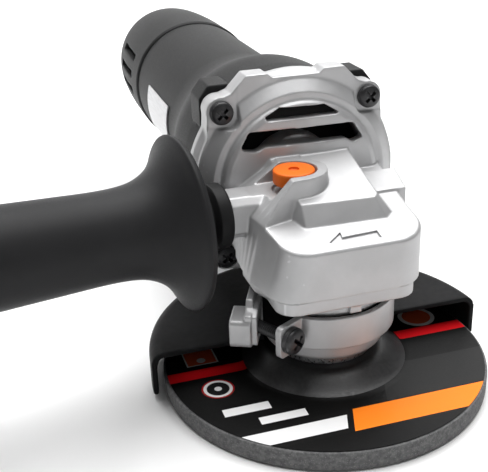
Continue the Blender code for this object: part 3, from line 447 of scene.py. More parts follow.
def printed_label():
    """The disc's printed paper: plain stripes, boxes, squares and rings on matt black, with one lighter
    leaning sector painted in as a reflection.
    """
    paper = Shader("disc_label", "abrasive", 0.5, specular=0.15)
    split = paper.add("ShaderNodeSeparateXYZ")
    paper.wire(paper.place, split.inputs[0])
    x = paper.math("MULTIPLY", split.outputs[0], 1000.0)
    y = paper.math("MULTIPLY", split.outputs[1], 1000.0)

    def within(value, low, high):
        over = paper.math("GREATER_THAN", value, low)
        return paper.math("MULTIPLY", over, paper.math("LESS_THAN", value, high))

    def block(x_low, x_high, y_low, y_high, lean=0.0):
        along_x = paper.math("SUBTRACT", x, paper.math("MULTIPLY", y, lean)) if lean else x
        return paper.math("MULTIPLY", within(along_x, x_low, x_high), within(y, y_low, y_high))

    def ring(centre, low, high):
        dx = paper.math("SUBTRACT", x, centre[0])
        dy = paper.math("SUBTRACT", y, centre[1])
        square = paper.math("ADD", paper.math("MULTIPLY", dx, dx), paper.math("MULTIPLY", dy, dy))
        return within(paper.math("SQRT", square), low, high)

    fade = paper.ramp(paper.noise(160, detail=3), 0.4, 0.6)
    tone = paper.mix(fade, (0.0015, 0.0015, 0.0015), (0.002, 0.002, 0.002))
    layers = [
        # Painted reflection: this lighter leaning sector on the right stands for the sheen on the glossy
        # paper. It is not print.
        (block(21.0, 70.0, -35.2, -15.6, lean=0.35), (0.014, 0.014, 0.014)),
        (block(-70.0, -28.6, -1.5, 4.1), (0.55, 0.004, 0.008)),
        (block(29.8, 70.0, -1.6, 4.1), (0.55, 0.004, 0.008)),
        (block(-70.0, 70.0, -46.8, -35.7), (1.0, 0.235, 0.012)),
        (block(-37.5, 8.6, -46.8, -35.7, lean=0.35), (0.0035, 0.0035, 0.0035)),
        (block(-34.8, 6.4, -44.6, -37.9, lean=0.35), (0.86, 0.86, 0.86)),
        (block(-44.2, -28.3, -26.2, -22.1), (0.86, 0.86, 0.86)),
        (block(-34.2, -18.3, -33.8, -30.0), (0.86, 0.86, 0.86)),
        (ring((-42.0, -9.7), -1.0, 5.6), (0.42, 0.01, 0.012)),
        (ring((-42.0, -9.7), -1.0, 5.0), (0.86, 0.86, 0.86)),
        (ring((-42.0, -9.7), -1.0, 3.9), (0.004, 0.004, 0.004)),
        (ring((-42.0, -9.7), -1.0, 1.3), (0.86, 0.86, 0.86)),
        (block(-48.8, -37.2, 6.6, 16.4), (0.45, 0.45, 0.45)),
        (block(-48.2, -37.8, 7.2, 15.8), (0.45, 0.07, 0.02)),
        (ring((-43.0, 9.6), -1.0, 1.6), (0.5, 0.5, 0.5)),
        (ring((43.0, 11.5), -1.0, 7.0), (0.5, 0.5, 0.5)),
        (ring((43.0, 11.5), -1.0, 5.4), (0.45, 0.07, 0.02)),
    ]
    for share, colour in layers:
        tone = paper.mix(share, tone, colour)
    paper.colour(tone)
    fibre = paper.noise(1800, detail=2)
    paper.roughness(paper.ramp(fibre, 0.3, 0.7, 0.46, 0.54))
    paper.bump(fibre, 0.03, 0.01)
    return paper.material


def copper_wire():
    wire = Shader("copper_wire", "copper", 0.32, metallic=1.0)
    turns = wire.noise(500, detail=1, stretch=(1, 6, 1))
    wire.colour(wire.mix(wire.ramp(turns, 0.4, 0.6), (0.45, 0.16, 0.06), (0.78, 0.36, 0.17)))
    wire.roughness(wire.ramp(turns, 0.3, 0.7, 0.25, 0.42))
    wire.bump(turns, 0.5, 0.3)
    return wire.material


def laminations():
    """Stacked steel sheets: fine rings along the motor axis."""
    stack = Shader("laminations", "lamination_steel", 0.5, metallic=0.9)
    sheets = stack.noise(900, detail=1, stretch=(0.02, 1, 0.02))
    stack.colour(stack.mix(stack.ramp(sheets, 0.4, 0.6), (0.2, 0.2, 0.21), (0.38, 0.38, 0.39)))
    stack.roughness(stack.ramp(sheets, 0.3, 0.7, 0.42, 0.58))
    stack.bump(sheets, 0.4, 0.1)
    return stack.material


def label_foil():
    foil = Shader("label_foil", "label_foil", 0.34, metallic=0.3)
    grain = foil.noise(1500, detail=2, stretch=(1, 0.1, 1))
    foil.colour(foil.mix(foil.ramp(grain, 0.35, 0.65), (0.5, 0.5, 0.51), (0.62, 0.62, 0.63)))
    foil.roughness(foil.ramp(grain, 0.3, 0.7, 0.28, 0.4))
    foil.bump(grain, 0.06, 0.02)
    return foil.material


def make_finishes():
    return {
        "cast_aluminium": cast_aluminium(),
        "bright_steel": steel("ground_steel", "bright_steel", (0.56, 0.56, 0.57), 0.3),
        "brass": steel("drawn_brass", "brass", (0.72, 0.52, 0.22), 0.34, stretch=(1, 1, 0.1)),
        "blackened_steel": black_oxide(),
        "guard_paint": guard_paint(),
        "charcoal_plastic": moulded("charcoal_plastic", "charcoal_plastic", (0.014, 0.014, 0.0145), 0.5),
        "grip_plastic": moulded("grip_plastic", "grip_plastic", (0.021, 0.021, 0.022), 0.48, depth=0.03),
        "orange_plastic": moulded(
            "orange_plastic", "orange_plastic", (0.87, 0.17, 0.02), 0.38, depth=0.02, worn=1.1,
        ),
        "abrasive": abrasive(),
        "hub": disc_hub(),
        "label": printed_label(),
        "copper": copper_wire(),
        "lamination_steel": laminations(),
        "carbon": moulded("pressed_carbon", "carbon", (0.05, 0.05, 0.055), 0.55),
        "rubber": moulded("rubber", "rubber", (0.018, 0.018, 0.018), 0.7, pitch=1200),
        "label_foil": label_foil(),
    }


# ---------------------------------------------------------------- gear head


def square(half):
    """Corners of a square about the axis, in the order of the flange screws' numbers."""
    return [(-half, half), (half, half), (half, -half), (-half, -half)]


def about_motor(points):
    """Moves (x, z) points from the motor's axis to the frame."""
    return [(x, z + MOTOR_Z) for x, z in points]


def slope_z(y):
    """Height of the head's sloping top face."""
    return SLOPE_FRONT_Z + SLOPE * (y - HEAD_FRONT)


def left_wall(y, z):
    """Where the head's leaning left side is at this height, held in where it would stand out too far."""
    leaning = SIDE_X + 0.05 - SIDE_BACK * y + SIDE_UP * z
    return max(leaning, SIDE_LIMIT + 0.08 * max(0.0, y))


def head_outline(level, front, corner, steps=16):
    """Plan outline of the head at the height that level(y) gives.

    Its left side leans, its front corners are round and its right side widens backwards.
    """
    left, right = [], []
    for i in range(9):
        y = HEAD_REAR + (-5.0 - HEAD_REAR) * i / 8
        left.append((left_wall(y, level(y)), y))
        right.append((HEAD_HALF + 0.09 * (y + 5.0), y))
    side = Vector((-SIDE_BACK, 1.0)).normalized()
    meet = Vector((left_wall(front, level(front)), front))
    reach = corner * math.tan((math.pi / 2 - math.atan(SIDE_BACK)) / 2)
    start, end = meet + side * reach, meet + Vector((reach, 0.0))
    for k in range(steps):
        t = k / (steps - 1)
        left.append(tuple(start * (1 - t) ** 2 + meet * 2 * t * (1 - t) + end * t * t))
    turn = arc((HEAD_HALF - corner, front + corner), corner, 270, 360, steps)
    return left + turn + right[::-1]


def flange_outline():
    """Front view of the flange plate: a circle with four screw ears and a flat raised top."""
    ear, s = 5.2, FLANGE_SCREW
    right = [(8.5, 37.3), (10.5, 38.9), (17.8, 38.9), (23.2, 33.3)]
    right += arc((s, s), ear, 98, -15, 18)
    right += arc((0, 0), FLANGE_R, 29, -29, 24)
    right += arc((s, -s), ear, 15, -90, 16)
    right += arc((0, 0), FLANGE_R, -62, -80, 8)
    return about_motor(right + [(-x, z) for x, z in reversed(right)])


def lock_block():
    """The raised horseshoe around the lock button."""
    outer_r = 11.3
    outline = [(-24.3, -8.0), (LOCK[0] - 4.0, LOCK[1] - outer_r - 0.3)]
    outline += arc(LOCK, outer_r, -90, 60, 30)
    outline += [(-1.0, 20.5), (-22.0, 20.5), (-24.3, 12.0)]
    return prism("lock_block", outline, 56.0, BUTTON_TOP)


def lock_bevel():
    """Cutter for the twisted bevel that runs down the left side of the lock block."""
    loops = []
    steps = 12
    for step in range(steps + 1):
        t = step / steps
        top_x, low_x, low_z = -13.3 + 3.7 * t, -23.2 - 5.3 * t, 61.6 + 3.2 * t
        rise = (top_x - low_x) / (BUTTON_TOP - low_z)
        y = -14.0 + 38.0 * t
        loops.append([
            (top_x + rise * 10, y, BUTTON_TOP + 10), (low_x, y, low_z),
            (-60.0, y, low_z - 12.0), (-60.0, y, BUTTON_TOP + 10),
        ])
    return lofted("lock_bevel", loops)


def side_bevel():
    """Cutter for the plane that leans the head's left side in towards its top."""
    loops = []
    for y in (-40.0, 30.0):
        low, high = (SIDE_X - SIDE_BACK * y + SIDE_UP * z for z in (30.0, 90.0))
        loops.append([(low, y, 30.0), (high, y, 90.0), (-80.0, y, 90.0), (-80.0, y, 30.0)])
    return lofted("side_bevel", loops)


def head_block():
    """The block that houses the gears, with a broken edge around its sloping top."""
    corner, edge_drop = 12.0, 0.7
    plan = head_outline(lambda y: HEAD_BOTTOM, HEAD_FRONT, corner)
    edge = head_outline(lambda y: slope_z(y) - edge_drop, HEAD_FRONT, corner)
    top = head_outline(slope_z, HEAD_FRONT + edge_drop, corner)
    return lofted("gear_head", [
        [(x, y, HEAD_BOTTOM) for x, y in plan],
        [(x, y, slope_z(y) - edge_drop) for x, y in edge],
        [(x + (0.5 if x < 0 else -0.6), y, slope_z(y)) for x, y in top],
    ])


def plateau():
    """The raised block over the pinion, with drafted sides and a top that climbs to the rear."""
    rear = HEAD_REAR - 0.4
    foot = [(-10.9, -12.0), (17.3, -12.6), (20.4, -9.6), (20.9, rear), (-20.0, rear), (-13.3, -5.3)]
    top = [(-11.0, -8.0), (14.4, -9.2), (16.0, -7.4), (16.8, rear), (-12.5, rear), (-11.0, 4.0)]
    return lofted("plateau", [
        [(x, y, slope_z(y) - 4.0) for x, y in foot],
        [(x, y, slope_z(y)) for x, y in foot],
        [(x, y, PLATEAU_FRONT_Z + PLATEAU_RISE * (y + 8.0)) for x, y in top],
    ])


def handle_boss(name, side):
    """A square boss with broken corners whose end face is square to the handle's axis."""
    half, chamfer = 7.2, 2.6
    inner = half - chamfer
    outline = [
        (half, -inner), (half, inner), (inner, half), (-inner, half),
        (-half, inner), (-half, -inner), (-inner, -half), (inner, -half),
    ]
    centre_y, centre_z = HANDLE_AT[1], HANDLE_AT[2] + 0.3
    loops = []
    for reach, lean in ((18.0, 0.0), (BOSS_X, math.tan(HANDLE_TILT))):
        loops.append([(side * (reach + lean * a), centre_y + a, centre_z + b) for a, b in outline])
    return lofted(name, loops)


def direction_arrow():
    """Cutter for the sunk arrow on the sloping top that shows which way the disc turns."""
    outline = [
        (-6.4, -20.7), (-0.8, -16.1), (-1.1, -18.9), (11.1, -18.2), (11.1, -22.0), (-1.1, -22.4),
    ]
    return lofted("arrow", [[(x, y, slope_z(y) + lift) for x, y in outline] for lift in (-0.7, 4.0)])


def ear_pocket(side, level):
    """Cutter for the rounded square pocket in front of one flange ear."""
    wall, corner, far = 21.15, 3.5, 46.0
    floor = 21.5 if level > 0 else 19.9
    outline = [(far, floor)] + arc((wall + corner, floor + corner), corner, 270, 180, 10)
    outline += [(wall, far), (far, far)]
    mirrored = about_motor([(side * x, level * z) for x, z in outline])
    return prism("ear_pocket", mirrored, 15.0, EAR_FACE, axis="Y")


def ear_seat(level):
    """Face that a flange screw's head rests on: the lower two are sunk."""
    return EAR_FACE if level > 0 else EAR_FACE + 1.5


def head_cavities():
    """Cutters for the gear room, air chamber, exhaust slots, lock, flange screws and cover screws."""
    gear_room = turned("gear_room", [
        (0.0, 38.0), (21.8, 38.0), (21.8, 58.3), (14.0, 60.5), (8.4, 60.5),
        (8.4, 58.6), (6.15, 58.6), (6.15, 66.6), (0.0, 66.6),
    ], segments=64)
    pinion_room = turned("pinion_room", [
        (0.0, 10.0), (4.2, 10.0), (4.2, 14.2), (7.2, 14.2), (9.75, 21.0),
        (9.75, 21.5), (13.2, 21.5), (13.2, 40.0), (0.0, 40.0),
    ], axis="Y", segments=48, at=(0, 0, MOTOR_Z))
    air = turned("air_chamber", [(16.0, 23.6), (28.0, 23.6), (28.0, 40.0), (16.0, 40.0)],
                 axis="Y", segments=64, at=(0, 0, MOTOR_Z))
    upper = [(-7.8, 27.8), (-13.2, 25.1), (-12.6, 23.8), (13.2, 23.7), (13.7, 24.2), (8.5, 27.5)]
    lower = [
        (-19.0, 20.7), (-22.1, 15.6), (-21.4, 14.2), (-16.9, 13.5), (-13.6, 15.0),
        (16.3, 14.5), (19.0, 12.8), (22.8, 14.1), (19.1, 20.0),
    ]
    slots = []
    for points in (upper, lower):
        slots.append(prism("slot", about_motor(rounded(points, 1.0)), 15.0, 26.0, axis="Y"))
    mouth = [(-24.0, LOCK[1] - POCKET_R)] + arc(LOCK, POCKET_R, -90, 90, 28)
    mouth.append((-24.0, LOCK[1] + POCKET_R))
    lock = [
        prism("pocket", mouth, POCKET_FLOOR, 84.0),
        rod("button_well", POCKET_R - 0.3, 67.9, 72.0, at=(*LOCK, 0)),
        rod("spring_well", 3.4, 62.5, 70.0, at=(*LOCK, 0)),
        rod("pin_bore", 1.9, 56.0, 66.0, segments=20, at=(*LOCK, 0)),
    ]
    screws = []
    for x, z in square(FLANGE_SCREW):
        at = (x, 0, MOTOR_Z + z)
        screws.append(ear_pocket(math.copysign(1, x), math.copysign(1, z)))
        screws.append(rod("flange_hole", 2.3, 20.0, 40.0, axis="Y", segments=20, at=at))
        if z < 0:
            screws.append(rod("flange_seat", 4.6, 15.0, ear_seat(z), axis="Y", at=at))
    for x, y in cover_screw_places():
        screws.append(rod("cover_hole", 1.9, 40.0, 54.5, segments=20, at=(x, y, 0)))
    return [gear_room, pinion_room, air] + slots + lock + screws


def cover_screw_places():
    """Places of the four screws under the bearing cover."""
    return [(-16.4, -18.4), (16.4, -18.4), (20.0, 16.5), (-20.0, 16.5)]


def handle_bore(side):
    """Cutter for the handle's hole in a boss."""
    turn = (0.0, side * (math.pi / 2 - HANDLE_LIFT), -side * HANDLE_TILT)
    inward = -HANDLE_AT[0] - BOSS_X
    at = (side * BOSS_X, HANDLE_AT[1] + inward * math.tan(HANDLE_TILT), HANDLE_AT[2])
    return rod("handle_bore", 4.3, -10.0, 4.0, at=at, turn=turn)


def flange():
    """The flange plate with its domed slot panel, edge ring and four ears."""
    cone = turned("flange_cone", [
        (0.0, 18.6), (14.0, 18.9), (27.0, 19.8), (28.6, 20.6), (29.6, 22.0), (32.2, 22.0),
        (FLANGE_R - 0.4, FLANGE_FACE + 0.4), (FLANGE_R - 0.4, FLANGE_BACK - 1.0), (0.0, FLANGE_BACK - 1.0),
    ], axis="Y", segments=112, at=(0, 0, MOTOR_Z))
    plate = prism("flange_plate", flange_outline(), FLANGE_FACE, FLANGE_BACK, axis="Y")
    rim = turned("flange_rim", [
        (0.0, 26.3), (FLANGE_R - 0.3, 26.3), (FLANGE_R + 1.5, 30.4), (FLANGE_R + 1.5, 33.7), (0.0, 33.7),
    ], axis="Y", segments=112, at=(0, 0, MOTOR_Z))
    neck_room = turned("neck_room", [
        (0.0, 10.0), (BAND_R + 0.5, 10.0), (BAND_R + 0.5, BAND_HIGH + 0.5), (22.7, BAND_HIGH + 0.5),
        (22.7, COVER_BOTTOM + 2.0), (0.0, COVER_BOTTOM + 2.0),
    ], segments=64)
    cover_room = box("cover_room", (-40.0, -40.0, COVER_BOTTOM - 0.3), (40.0, 23.1, HEAD_BOTTOM + 0.7))
    return cut(fuse(cone, plate, rim), neck_room, cover_room)


def gear_head():
    """The cast head. Its arrow is cut last, so that its edges stay crisp."""
    head = fuse(head_block(), lock_block())
    cut(head, lock_bevel(), side_bevel())
    lowered = [[(x, y, slope_z(y) + lift) for x, y in square(45.0)] for lift in (1.1, 40.0)]
    right_boss = cut(handle_boss("right_boss", 1), lofted("boss_slope", lowered))
    fuse(head, plateau(), flange(), handle_boss("left_boss", -1), right_boss)
    cut(head, *head_cavities(), handle_bore(-1), handle_bore(1))
    cast(head, 0.38, 3)
    return shaded(cut(head, direction_arrow()))


def cover_outline():
    """Plan outline of the bearing cover, narrower than the head in front."""
    front, rear, corner = HEAD_FRONT + 0.3, 22.0, 7.0
    left = [(-22.0, rear), (-26.4, 9.0), (-26.4, -4.4), (-COVER_HALF, -10.2)]
    left += arc((-COVER_HALF + corner, front + corner), corner, 180, 270, 14)
    return left + [(-x, y) for x, y in reversed(left)]


def bearing_cover():
    """The cover under the gears with the neck that carries the guard. Its top sits in the head's foot."""
    cover = prism("bearing_cover_shell", cover_outline(), COVER_BOTTOM, HEAD_BOTTOM + 0.25)
    neck = turned("neck", [
        (0.0, 16.4), (20.2, 16.4), (21.0, 17.4), (21.0, BAND_HIGH + 0.3), (22.3, BAND_HIGH + 0.3),
        (22.3, 39.2), (0.0, 39.2),
    ])
    spigot = rod("cover_spigot", 21.5, 40.0, 45.0, segments=96)
    tab = box("key_tab", (-0.2, -24.0, 35.3), (3.8, -21.0, COVER_BOTTOM + 1.0))
    bore = turned("cover_bore", [
        (0.0, 15.0), (9.8, 15.0), (9.8, 27.0), (16.2, 27.0), (16.2, 48.0), (0.0, 48.0),
    ])
    fuse(cover, neck, spigot, tab)
    holes = []
    for x, y in cover_screw_places():
        holes.append(rod("cover_clear", 1.9, 30.0, 50.0, segments=20, at=(x, y, 0)))
        holes.append(rod("cover_sink", 3.1, 30.0, COVER_SCREW_SEAT, at=(x, y, 0)))
    cut(cover, bore, *holes)
    return cast(cover, 0.38, 2)


# ---------------------------------------------------------------- screws


def pan_screw(name, head_r, head_h, shank_r, length, at, turn):
    """A cross-recess pan-head screw. Its head points along its own +Z and its seat is at the point at."""
    dome = [(head_r * 0.97 * math.sin(a), head_h * (0.55 + 0.45 * math.cos(a)))
            for a in [math.radians(90 * i / 9) for i in range(10)]]
    profile = [(0.0, dome[0][1])] + dome[1:]
    profile += [(head_r * 0.93, head_h * 0.5), (head_r, head_h * 0.44), (head_r, 0.0), (shank_r, 0.0)]
    turns = int(length / 0.8)
    for i in range(turns):
        profile += [(shank_r, -0.8 * i - 0.1), (shank_r * 0.84, -0.8 * i - 0.5)]
    profile += [(shank_r * 0.8, -length), (0.0, -length)]
    screw = turned(name, profile, segments=48)
    half, thin = head_r * 0.6, head_r * 0.155
    outline = [
        (half, -thin), (half, thin), (thin, thin), (thin, half), (-thin, half), (-thin, thin),
        (-half, thin), (-half, -thin), (-thin, -thin), (-thin, -half), (thin, -half), (thin, -thin),
    ]
    loops = []
    for z, share in ((head_h * 0.2, 0.85), (head_h * 1.2, 1.0)):
        loops.append([(x * share, y * share, z) for x, y in outline])
    cut(screw, lofted("recess", loops, turn=(0, 0, math.radians(45))))
    place = Matrix.Translation(Vector(at) * MM) @ turn.to_matrix().to_4x4()
    screw.data.transform(place)
    return shaded(screw)


def towards(x, y, z):
    """The turn that takes a piece's own +Z to this direction."""
    return Vector((x, y, z)).to_track_quat("Z", "Y")


def make_screws(finish):
    """The cross-recess screws of the flange, the bearing cover and the rear cover."""
    for i, (x, z) in enumerate(square(FLANGE_SCREW)):
        name = f"flange_screw_{i + 1}"
        at = (x, ear_seat(z) - 0.15, MOTOR_Z + z)
        screw = pan_screw(f"head_{name}", 4.1, 2.7, 2.0, 45.3 - at[1], at, towards(0, -1, 0))
        finished(screw, finish, "machine", name)
    for i, (x, y) in enumerate(cover_screw_places()):
        name = f"cover_screw_{i + 1}"
        at = (x, y, COVER_SCREW_SEAT - 0.3)
        screw = pan_screw(f"head_{name}", 2.7, 1.8, 1.6, 13.5, at, towards(0, 0, -1))
        finished(screw, finish, "machine", name)
    for i, angle in enumerate((-60, -120)):
        name = f"rear_cover_screw_{i + 1}"
        out = (math.cos(math.radians(angle)), math.sin(math.radians(angle)))
        at = (28.3 * out[0], 179.0, MOTOR_Z + 28.3 * out[1])
        screw = pan_screw(f"head_{name}", 2.8, 1.7, 1.4, 6.0, at, towards(out[0], 0, out[1]))
        finished(screw, finish, "machine", name)


# ---------------------------------------------------------------- guard and its clamp


def guard():
    """Half drum of bent sheet with a rounded shoulder, rolled ends and a full collar."""
    wall_in, wall_out, low, top = 60.1, 62.1, 1.0, 17.2
    profile = [(21.3, top - 2.0)] + arc((wall_in - 2.4, top - 4.4), 2.4, 90, 0, 8)
    profile += arc((wall_in + 1.0, low + 1.0), 1.0, 180, 360, 9)
    profile += arc((wall_out - 4.2, top - 4.2), 4.2, 0, 90, 12)
    profile += arc((24.6, top + 2.2), 2.2, 270, 180, 6) + [(22.4, 33.9), (21.3, 33.9)]
    shroud = turned("guard_drum", profile, segments=160)
    cut(shroud, box("guard_front", (-80, -80, -10), (80, 2.0, 22.4)))
    return cast(shroud, 0.5, 2)


def clamp_plate(name, outline, near, far, angle):
    """A plate of the clamp, from its (outward, up) outline, in a frame turned about the spindle."""
    return prism(name, outline, near, far, axis="Y", turn=(0, 0, angle))


def clamp_band():
    """The band, open between the nut block on the left and the thin lug under the screw head."""
    section = [(22.7, BAND_LOW), (BAND_R, BAND_LOW), (BAND_R, BAND_HIGH), (22.7, BAND_HIGH)]
    band = turned("band", section, segments=160)
    gap = arc((0, 0), 28.0, 184, 229, 16) + arc((0, 0), 20.0, 229, 184, 16)
    low, high, reach = BAND_LOW + 0.1, BAND_HIGH - 0.1, 33.1
    thin = [(21.8, low), (30.9, low)] + arc((reach - 1.9, low + 1.9), 1.9, 270, 360, 8)
    thin += arc((reach - 1.9, high - 1.9), 1.9, 0, 90, 8) + [(21.8, high)]
    block_low, block_high = 22.2, 32.2
    block = [(13.5, block_low)] + arc((23.4, block_low + 1.8), 1.8, 270, 360, 8)
    block += arc((23.4, block_high - 1.8), 1.8, 0, 90, 8) + [(13.5, block_high)]
    tall = [(8.0, 23.1), (24.3, 23.1), (24.3, 33.8), (20.5, 34.6), (18.5, PLATE_TOP), (8.0, PLATE_TOP)]
    thick = [(12.4, 23.0), (24.0, 23.0), (24.0, 33.4), (20.4, 34.9), (12.4, 34.9)]
    cut(band, prism("band_gap", gap, 10.0, 50.0))
    fuse(
        band,
        clamp_plate("tall_plate", tall, -24.6, -22.2, BLOCK_ANGLE),
        clamp_plate("thick_plate", thick, -24.4, -20.3, BLOCK_ANGLE),
        clamp_plate("nut_block", block, -29.6, -22.4, BLOCK_ANGLE),
        clamp_plate("thin_lug", thin, 6.9, 9.2, LUG_ANGLE),
    )
    place = (CLAMP_R * math.cos(LUG_ANGLE), CLAMP_R * math.sin(LUG_ANGLE), CLAMP_Z)
    cut(band, rod("clamp_bore", 2.5, -11.4, 20.0, axis="Y", at=place, turn=(0, 0, LUG_ANGLE)))
    return cast(band, 0.32, 2)


def clamp_screw():
    """The screw that pulls the thin lug towards the nut block."""
    radial = Matrix.Rotation(LUG_ANGLE, 3, "Z")
    at = radial @ Vector((CLAMP_R, 9.35, CLAMP_Z))
    along_screw = radial @ Vector((0, 1, 0))
    return pan_screw("clamp_bolt", 4.6, 3.6, 2.2, 20.0, at, towards(*along_screw))


# ---------------------------------------------------------------- disc


def eased(share):
    """A share from 0 to 1 with a level start and a level end."""
    return share * share * (3 - 2 * share)


def step_height(radius):
    """Height of the disc's top face at this radius."""
    rim_z = DISC_TOP + 0.2
    share = min(1.0, max(0.0, (STEP_OUTER - radius) / (STEP_OUTER - STEP_INNER)))
    return rim_z + (HUMP_TOP - rim_z) * eased(share)


def disc():
    """The abrasive body: flat rim, smooth step and raised hub of even thickness."""
    bore_r, edge_r, steps = 11.2, 0.5, 16
    width, hub_z = STEP_OUTER - STEP_INNER, HUMP_TOP - DISC_THICK
    top, low = [], []
    for i in range(steps + 1):
        share = i / steps
        radius = STEP_OUTER - width * share
        top.append((radius, step_height(radius)))
        low.append((STEP_INNER - 1.0 + width * share, hub_z * (1 - eased(share))))
    edge = arc((DISC_R - edge_r, edge_r), edge_r, 270, 360, 4)
    edge += arc((DISC_R - edge_r, DISC_TOP - edge_r), edge_r, 0, 90, 4)
    profile = [(bore_r, hub_z)] + low + edge + top + [(bore_r, HUMP_TOP)]
    return shaded(turned("abrasive_disc", profile, segments=180))


def paper_ring(name, inner, outer, thickness):
    """A thin printed sheet that follows the disc's top face between two radii."""
    count = 28
    radii = [inner + (outer - inner) * i / count for i in range(count + 1)]
    upper = [(r, step_height(r) + thickness) for r in radii]
    lower = [(r, step_height(r) + 0.02) for r in reversed(radii)]
    return shaded(turned(name, lower + upper, segments=180))


def flange_nut():
    """The nut below the disc, with two spanner holes."""
    profile = rounded([(7.0, 1.2), (17.5, 1.2), (17.5, 5.9), (10.8, 5.9), (10.8, 11.5), (7.0, 11.5)], 0.5)
    nut = turned("outer_flange_nut", profile)
    cut(nut, *[rod("spanner_hole", 2.0, -1.0, 4.0, at=(side * 12.5, 0, 0)) for side in (-1, 1)])
    return shaded(nut)


# ---------------------------------------------------------------- spindle lock button


def lock_button():
    """The button with a small dimple in its top."""
    dimple = [(1.85, BUTTON_TOP - 0.7), (1.4, BUTTON_TOP - 1.0)]
    profile = [(0.0, 73.9), (4.4, 73.9)] + rounded(
        [(4.4, 71.2), (BUTTON_R, 71.2), (BUTTON_R, BUTTON_TOP), (1.9, BUTTON_TOP)], 0.8, closed=False)
    profile += dimple + [(0.0, BUTTON_TOP - 1.0)]
    return shaded(turned("button", profile, segments=80, at=(*LOCK, 0)))


# ---------------------------------------------------------------- motor housing


def motor_housing():
    """The moulded body: a wide front with four screw corners that tapers to the plain barrel."""
    outside = [
        (0.0, 34.15), (36.0, 34.15), (36.8, 38.0), (37.2, 46.0), (37.0, 60.0), (35.6, 69.0),
        (32.6, 79.0), (30.6, 88.0), (29.7, 97.0), (29.6, 105.0), (29.6, 171.9),
        (26.2, 172.0), (26.2, 186.0), (0.0, 186.0),
    ]
    smooth = outside[:3] + curve_through(outside[3:10]) + outside[10:]
    shell = turned("body_shell", smooth, axis="Y", segments=128, at=(0, 0, MOTOR_Z))
    corner = [(20.0, 20.0), (32.5, 20.0), (32.5, 30.0), (29.0, 34.5), (22.0, 34.5), (20.0, 33.0)]
    ears = []
    for i, (x, z) in enumerate(square(1)):
        outline = about_motor([(x * a, z * b) for a, b in corner])
        ears.append(prism(f"housing_ear_{i}", outline, 34.4, 47.0, axis="Y"))
    fuse(shell, *ears)
    hollow = turned("hollow", [
        (0.0, 20.0), (34.0, 20.0), (34.0, 50.3), (27.3, 50.4), (27.3, 147.0), (0.0, 147.0),
    ], axis="Y", at=(0, 0, MOTOR_Z))
    rear = turned("rear_hollow", [
        (14.0, 150.0), (24.0, 150.0), (24.0, 200.0), (0.0, 200.0), (0.0, 155.6), (14.0, 155.6),
    ], axis="Y", at=(0, 0, MOTOR_Z))
    seat = rod("rear_seat", 11.6, 140.0, 158.0, axis="Y", at=(0, 0, MOTOR_Z))
    windows = [box("web_window", (low, 144, MOTOR_Z - 4.3), (low + 7.5, 152, MOTOR_Z + 4.3))
               for low in (-22.9, 15.4)]
    slot = box("switch_slot", (22.0, 124.4, MOTOR_Z - 2.9), (36.0, 137.6, MOTOR_Z + 2.9))
    holes = [rod("housing_hole", 2.3, 30.0, 46.0, axis="Y", segments=20, at=(x, 0, MOTOR_Z + z))
             for x, z in square(FLANGE_SCREW)]
    cut(shell, hollow, rear, seat, slot, *windows, *holes)
    return cast(shell, 0.6, 3)


def curve_through(points, steps=5):
    """A smooth curve through these points."""
    padded = [points[0]] + list(points) + [points[-1]]
    result = []
    for i in range(1, len(padded) - 2):
        p0, p1, p2, p3 = (Vector(padded[i + k]) for k in (-1, 0, 1, 2))
        for k in range(steps):
            t = k / steps
            point = 0.5 * (2 * p1 + (p2 - p0) * t + (2 * p0 - 5 * p1 + 4 * p2 - p3) * t * t
                           + (3 * p1 - p0 - 3 * p2 + p3) * t ** 3)
            result.append(tuple(point))
    return result + [points[-1]]


def rear_cover():
    """The rounded rear shell with three cooling vents on each side."""
    shape = [(30.5, 173.6), (30.3, 200.0), (29.3, 220.0), (27.9, 232.0), (26.2, 237.0), (22.5, 240.0)]
    profile = [(26.6, 172.05), (29.7, 172.05)] + curve_through(shape)
    profile += [(4.8, 240.0), (4.8, 237.2), (21.5, 237.2), (24.8, 231.5), (26.6, 221.0)]
    cover = turned("rear_shell", profile, axis="Y", segments=128, at=(0, 0, MOTOR_Z))
    vents = []
    for side in (-1, 1):
        for dz in (-4.5, 3.8, 12.1):
            outline = rounded([(187.0, MOTOR_Z + dz - 1.7), (219.0, MOTOR_Z + dz - 1.7),
                               (219.0, MOTOR_Z + dz + 1.7), (187.0, MOTOR_Z + dz + 1.7)], 1.5)
            low, high = sorted((side * 20, side * 36))
            vents.append(prism("vent", outline, low, high, axis="X"))
    for angle in (-60, -120):
        out = (math.cos(math.radians(angle)), 0, math.sin(math.radians(angle)))
        turn = towards(*out).to_matrix()
        vents.append(rod("screw_hole", 1.8, 20.0, 34.0, segments=20, at=(0, 179.0, MOTOR_Z), turn=turn))
        vents.append(rod("screw_seat", 3.2, 28.0, 34.0, segments=28, at=(0, 179.0, MOTOR_Z), turn=turn))
    cut(cover, *vents)
    return cast(cover, 0.5, 2)


def switch_slider():
    """The ribbed thumb piece, with the neck that reaches through the housing."""
    plate = rounded([
        (30.0, -5.6), (30.0, 5.6), (31.2, 6.4), (32.8, 5.2), (33.4, 0.0), (32.8, -5.2), (31.2, -6.4),
    ], 0.6)
    slider = prism("thumb_slider", about_motor(plate), 122.0, 146.0, axis="Y")
    neck = box("slider_neck", (22.6, 131.0, MOTOR_Z - 2.4), (31.0, 137.0, MOTOR_Z + 2.4))
    gaps = []
    for i in range(7):
        y = 125.0 + 3.0 * i
        gaps.append(box("rib_gap", (32.4, y, MOTOR_Z - 8), (36.0, y + 1.2, MOTOR_Z + 8)))
    fuse(slider, neck)
    cut(slider, *gaps)
    return cast(slider, 0.35, 2)


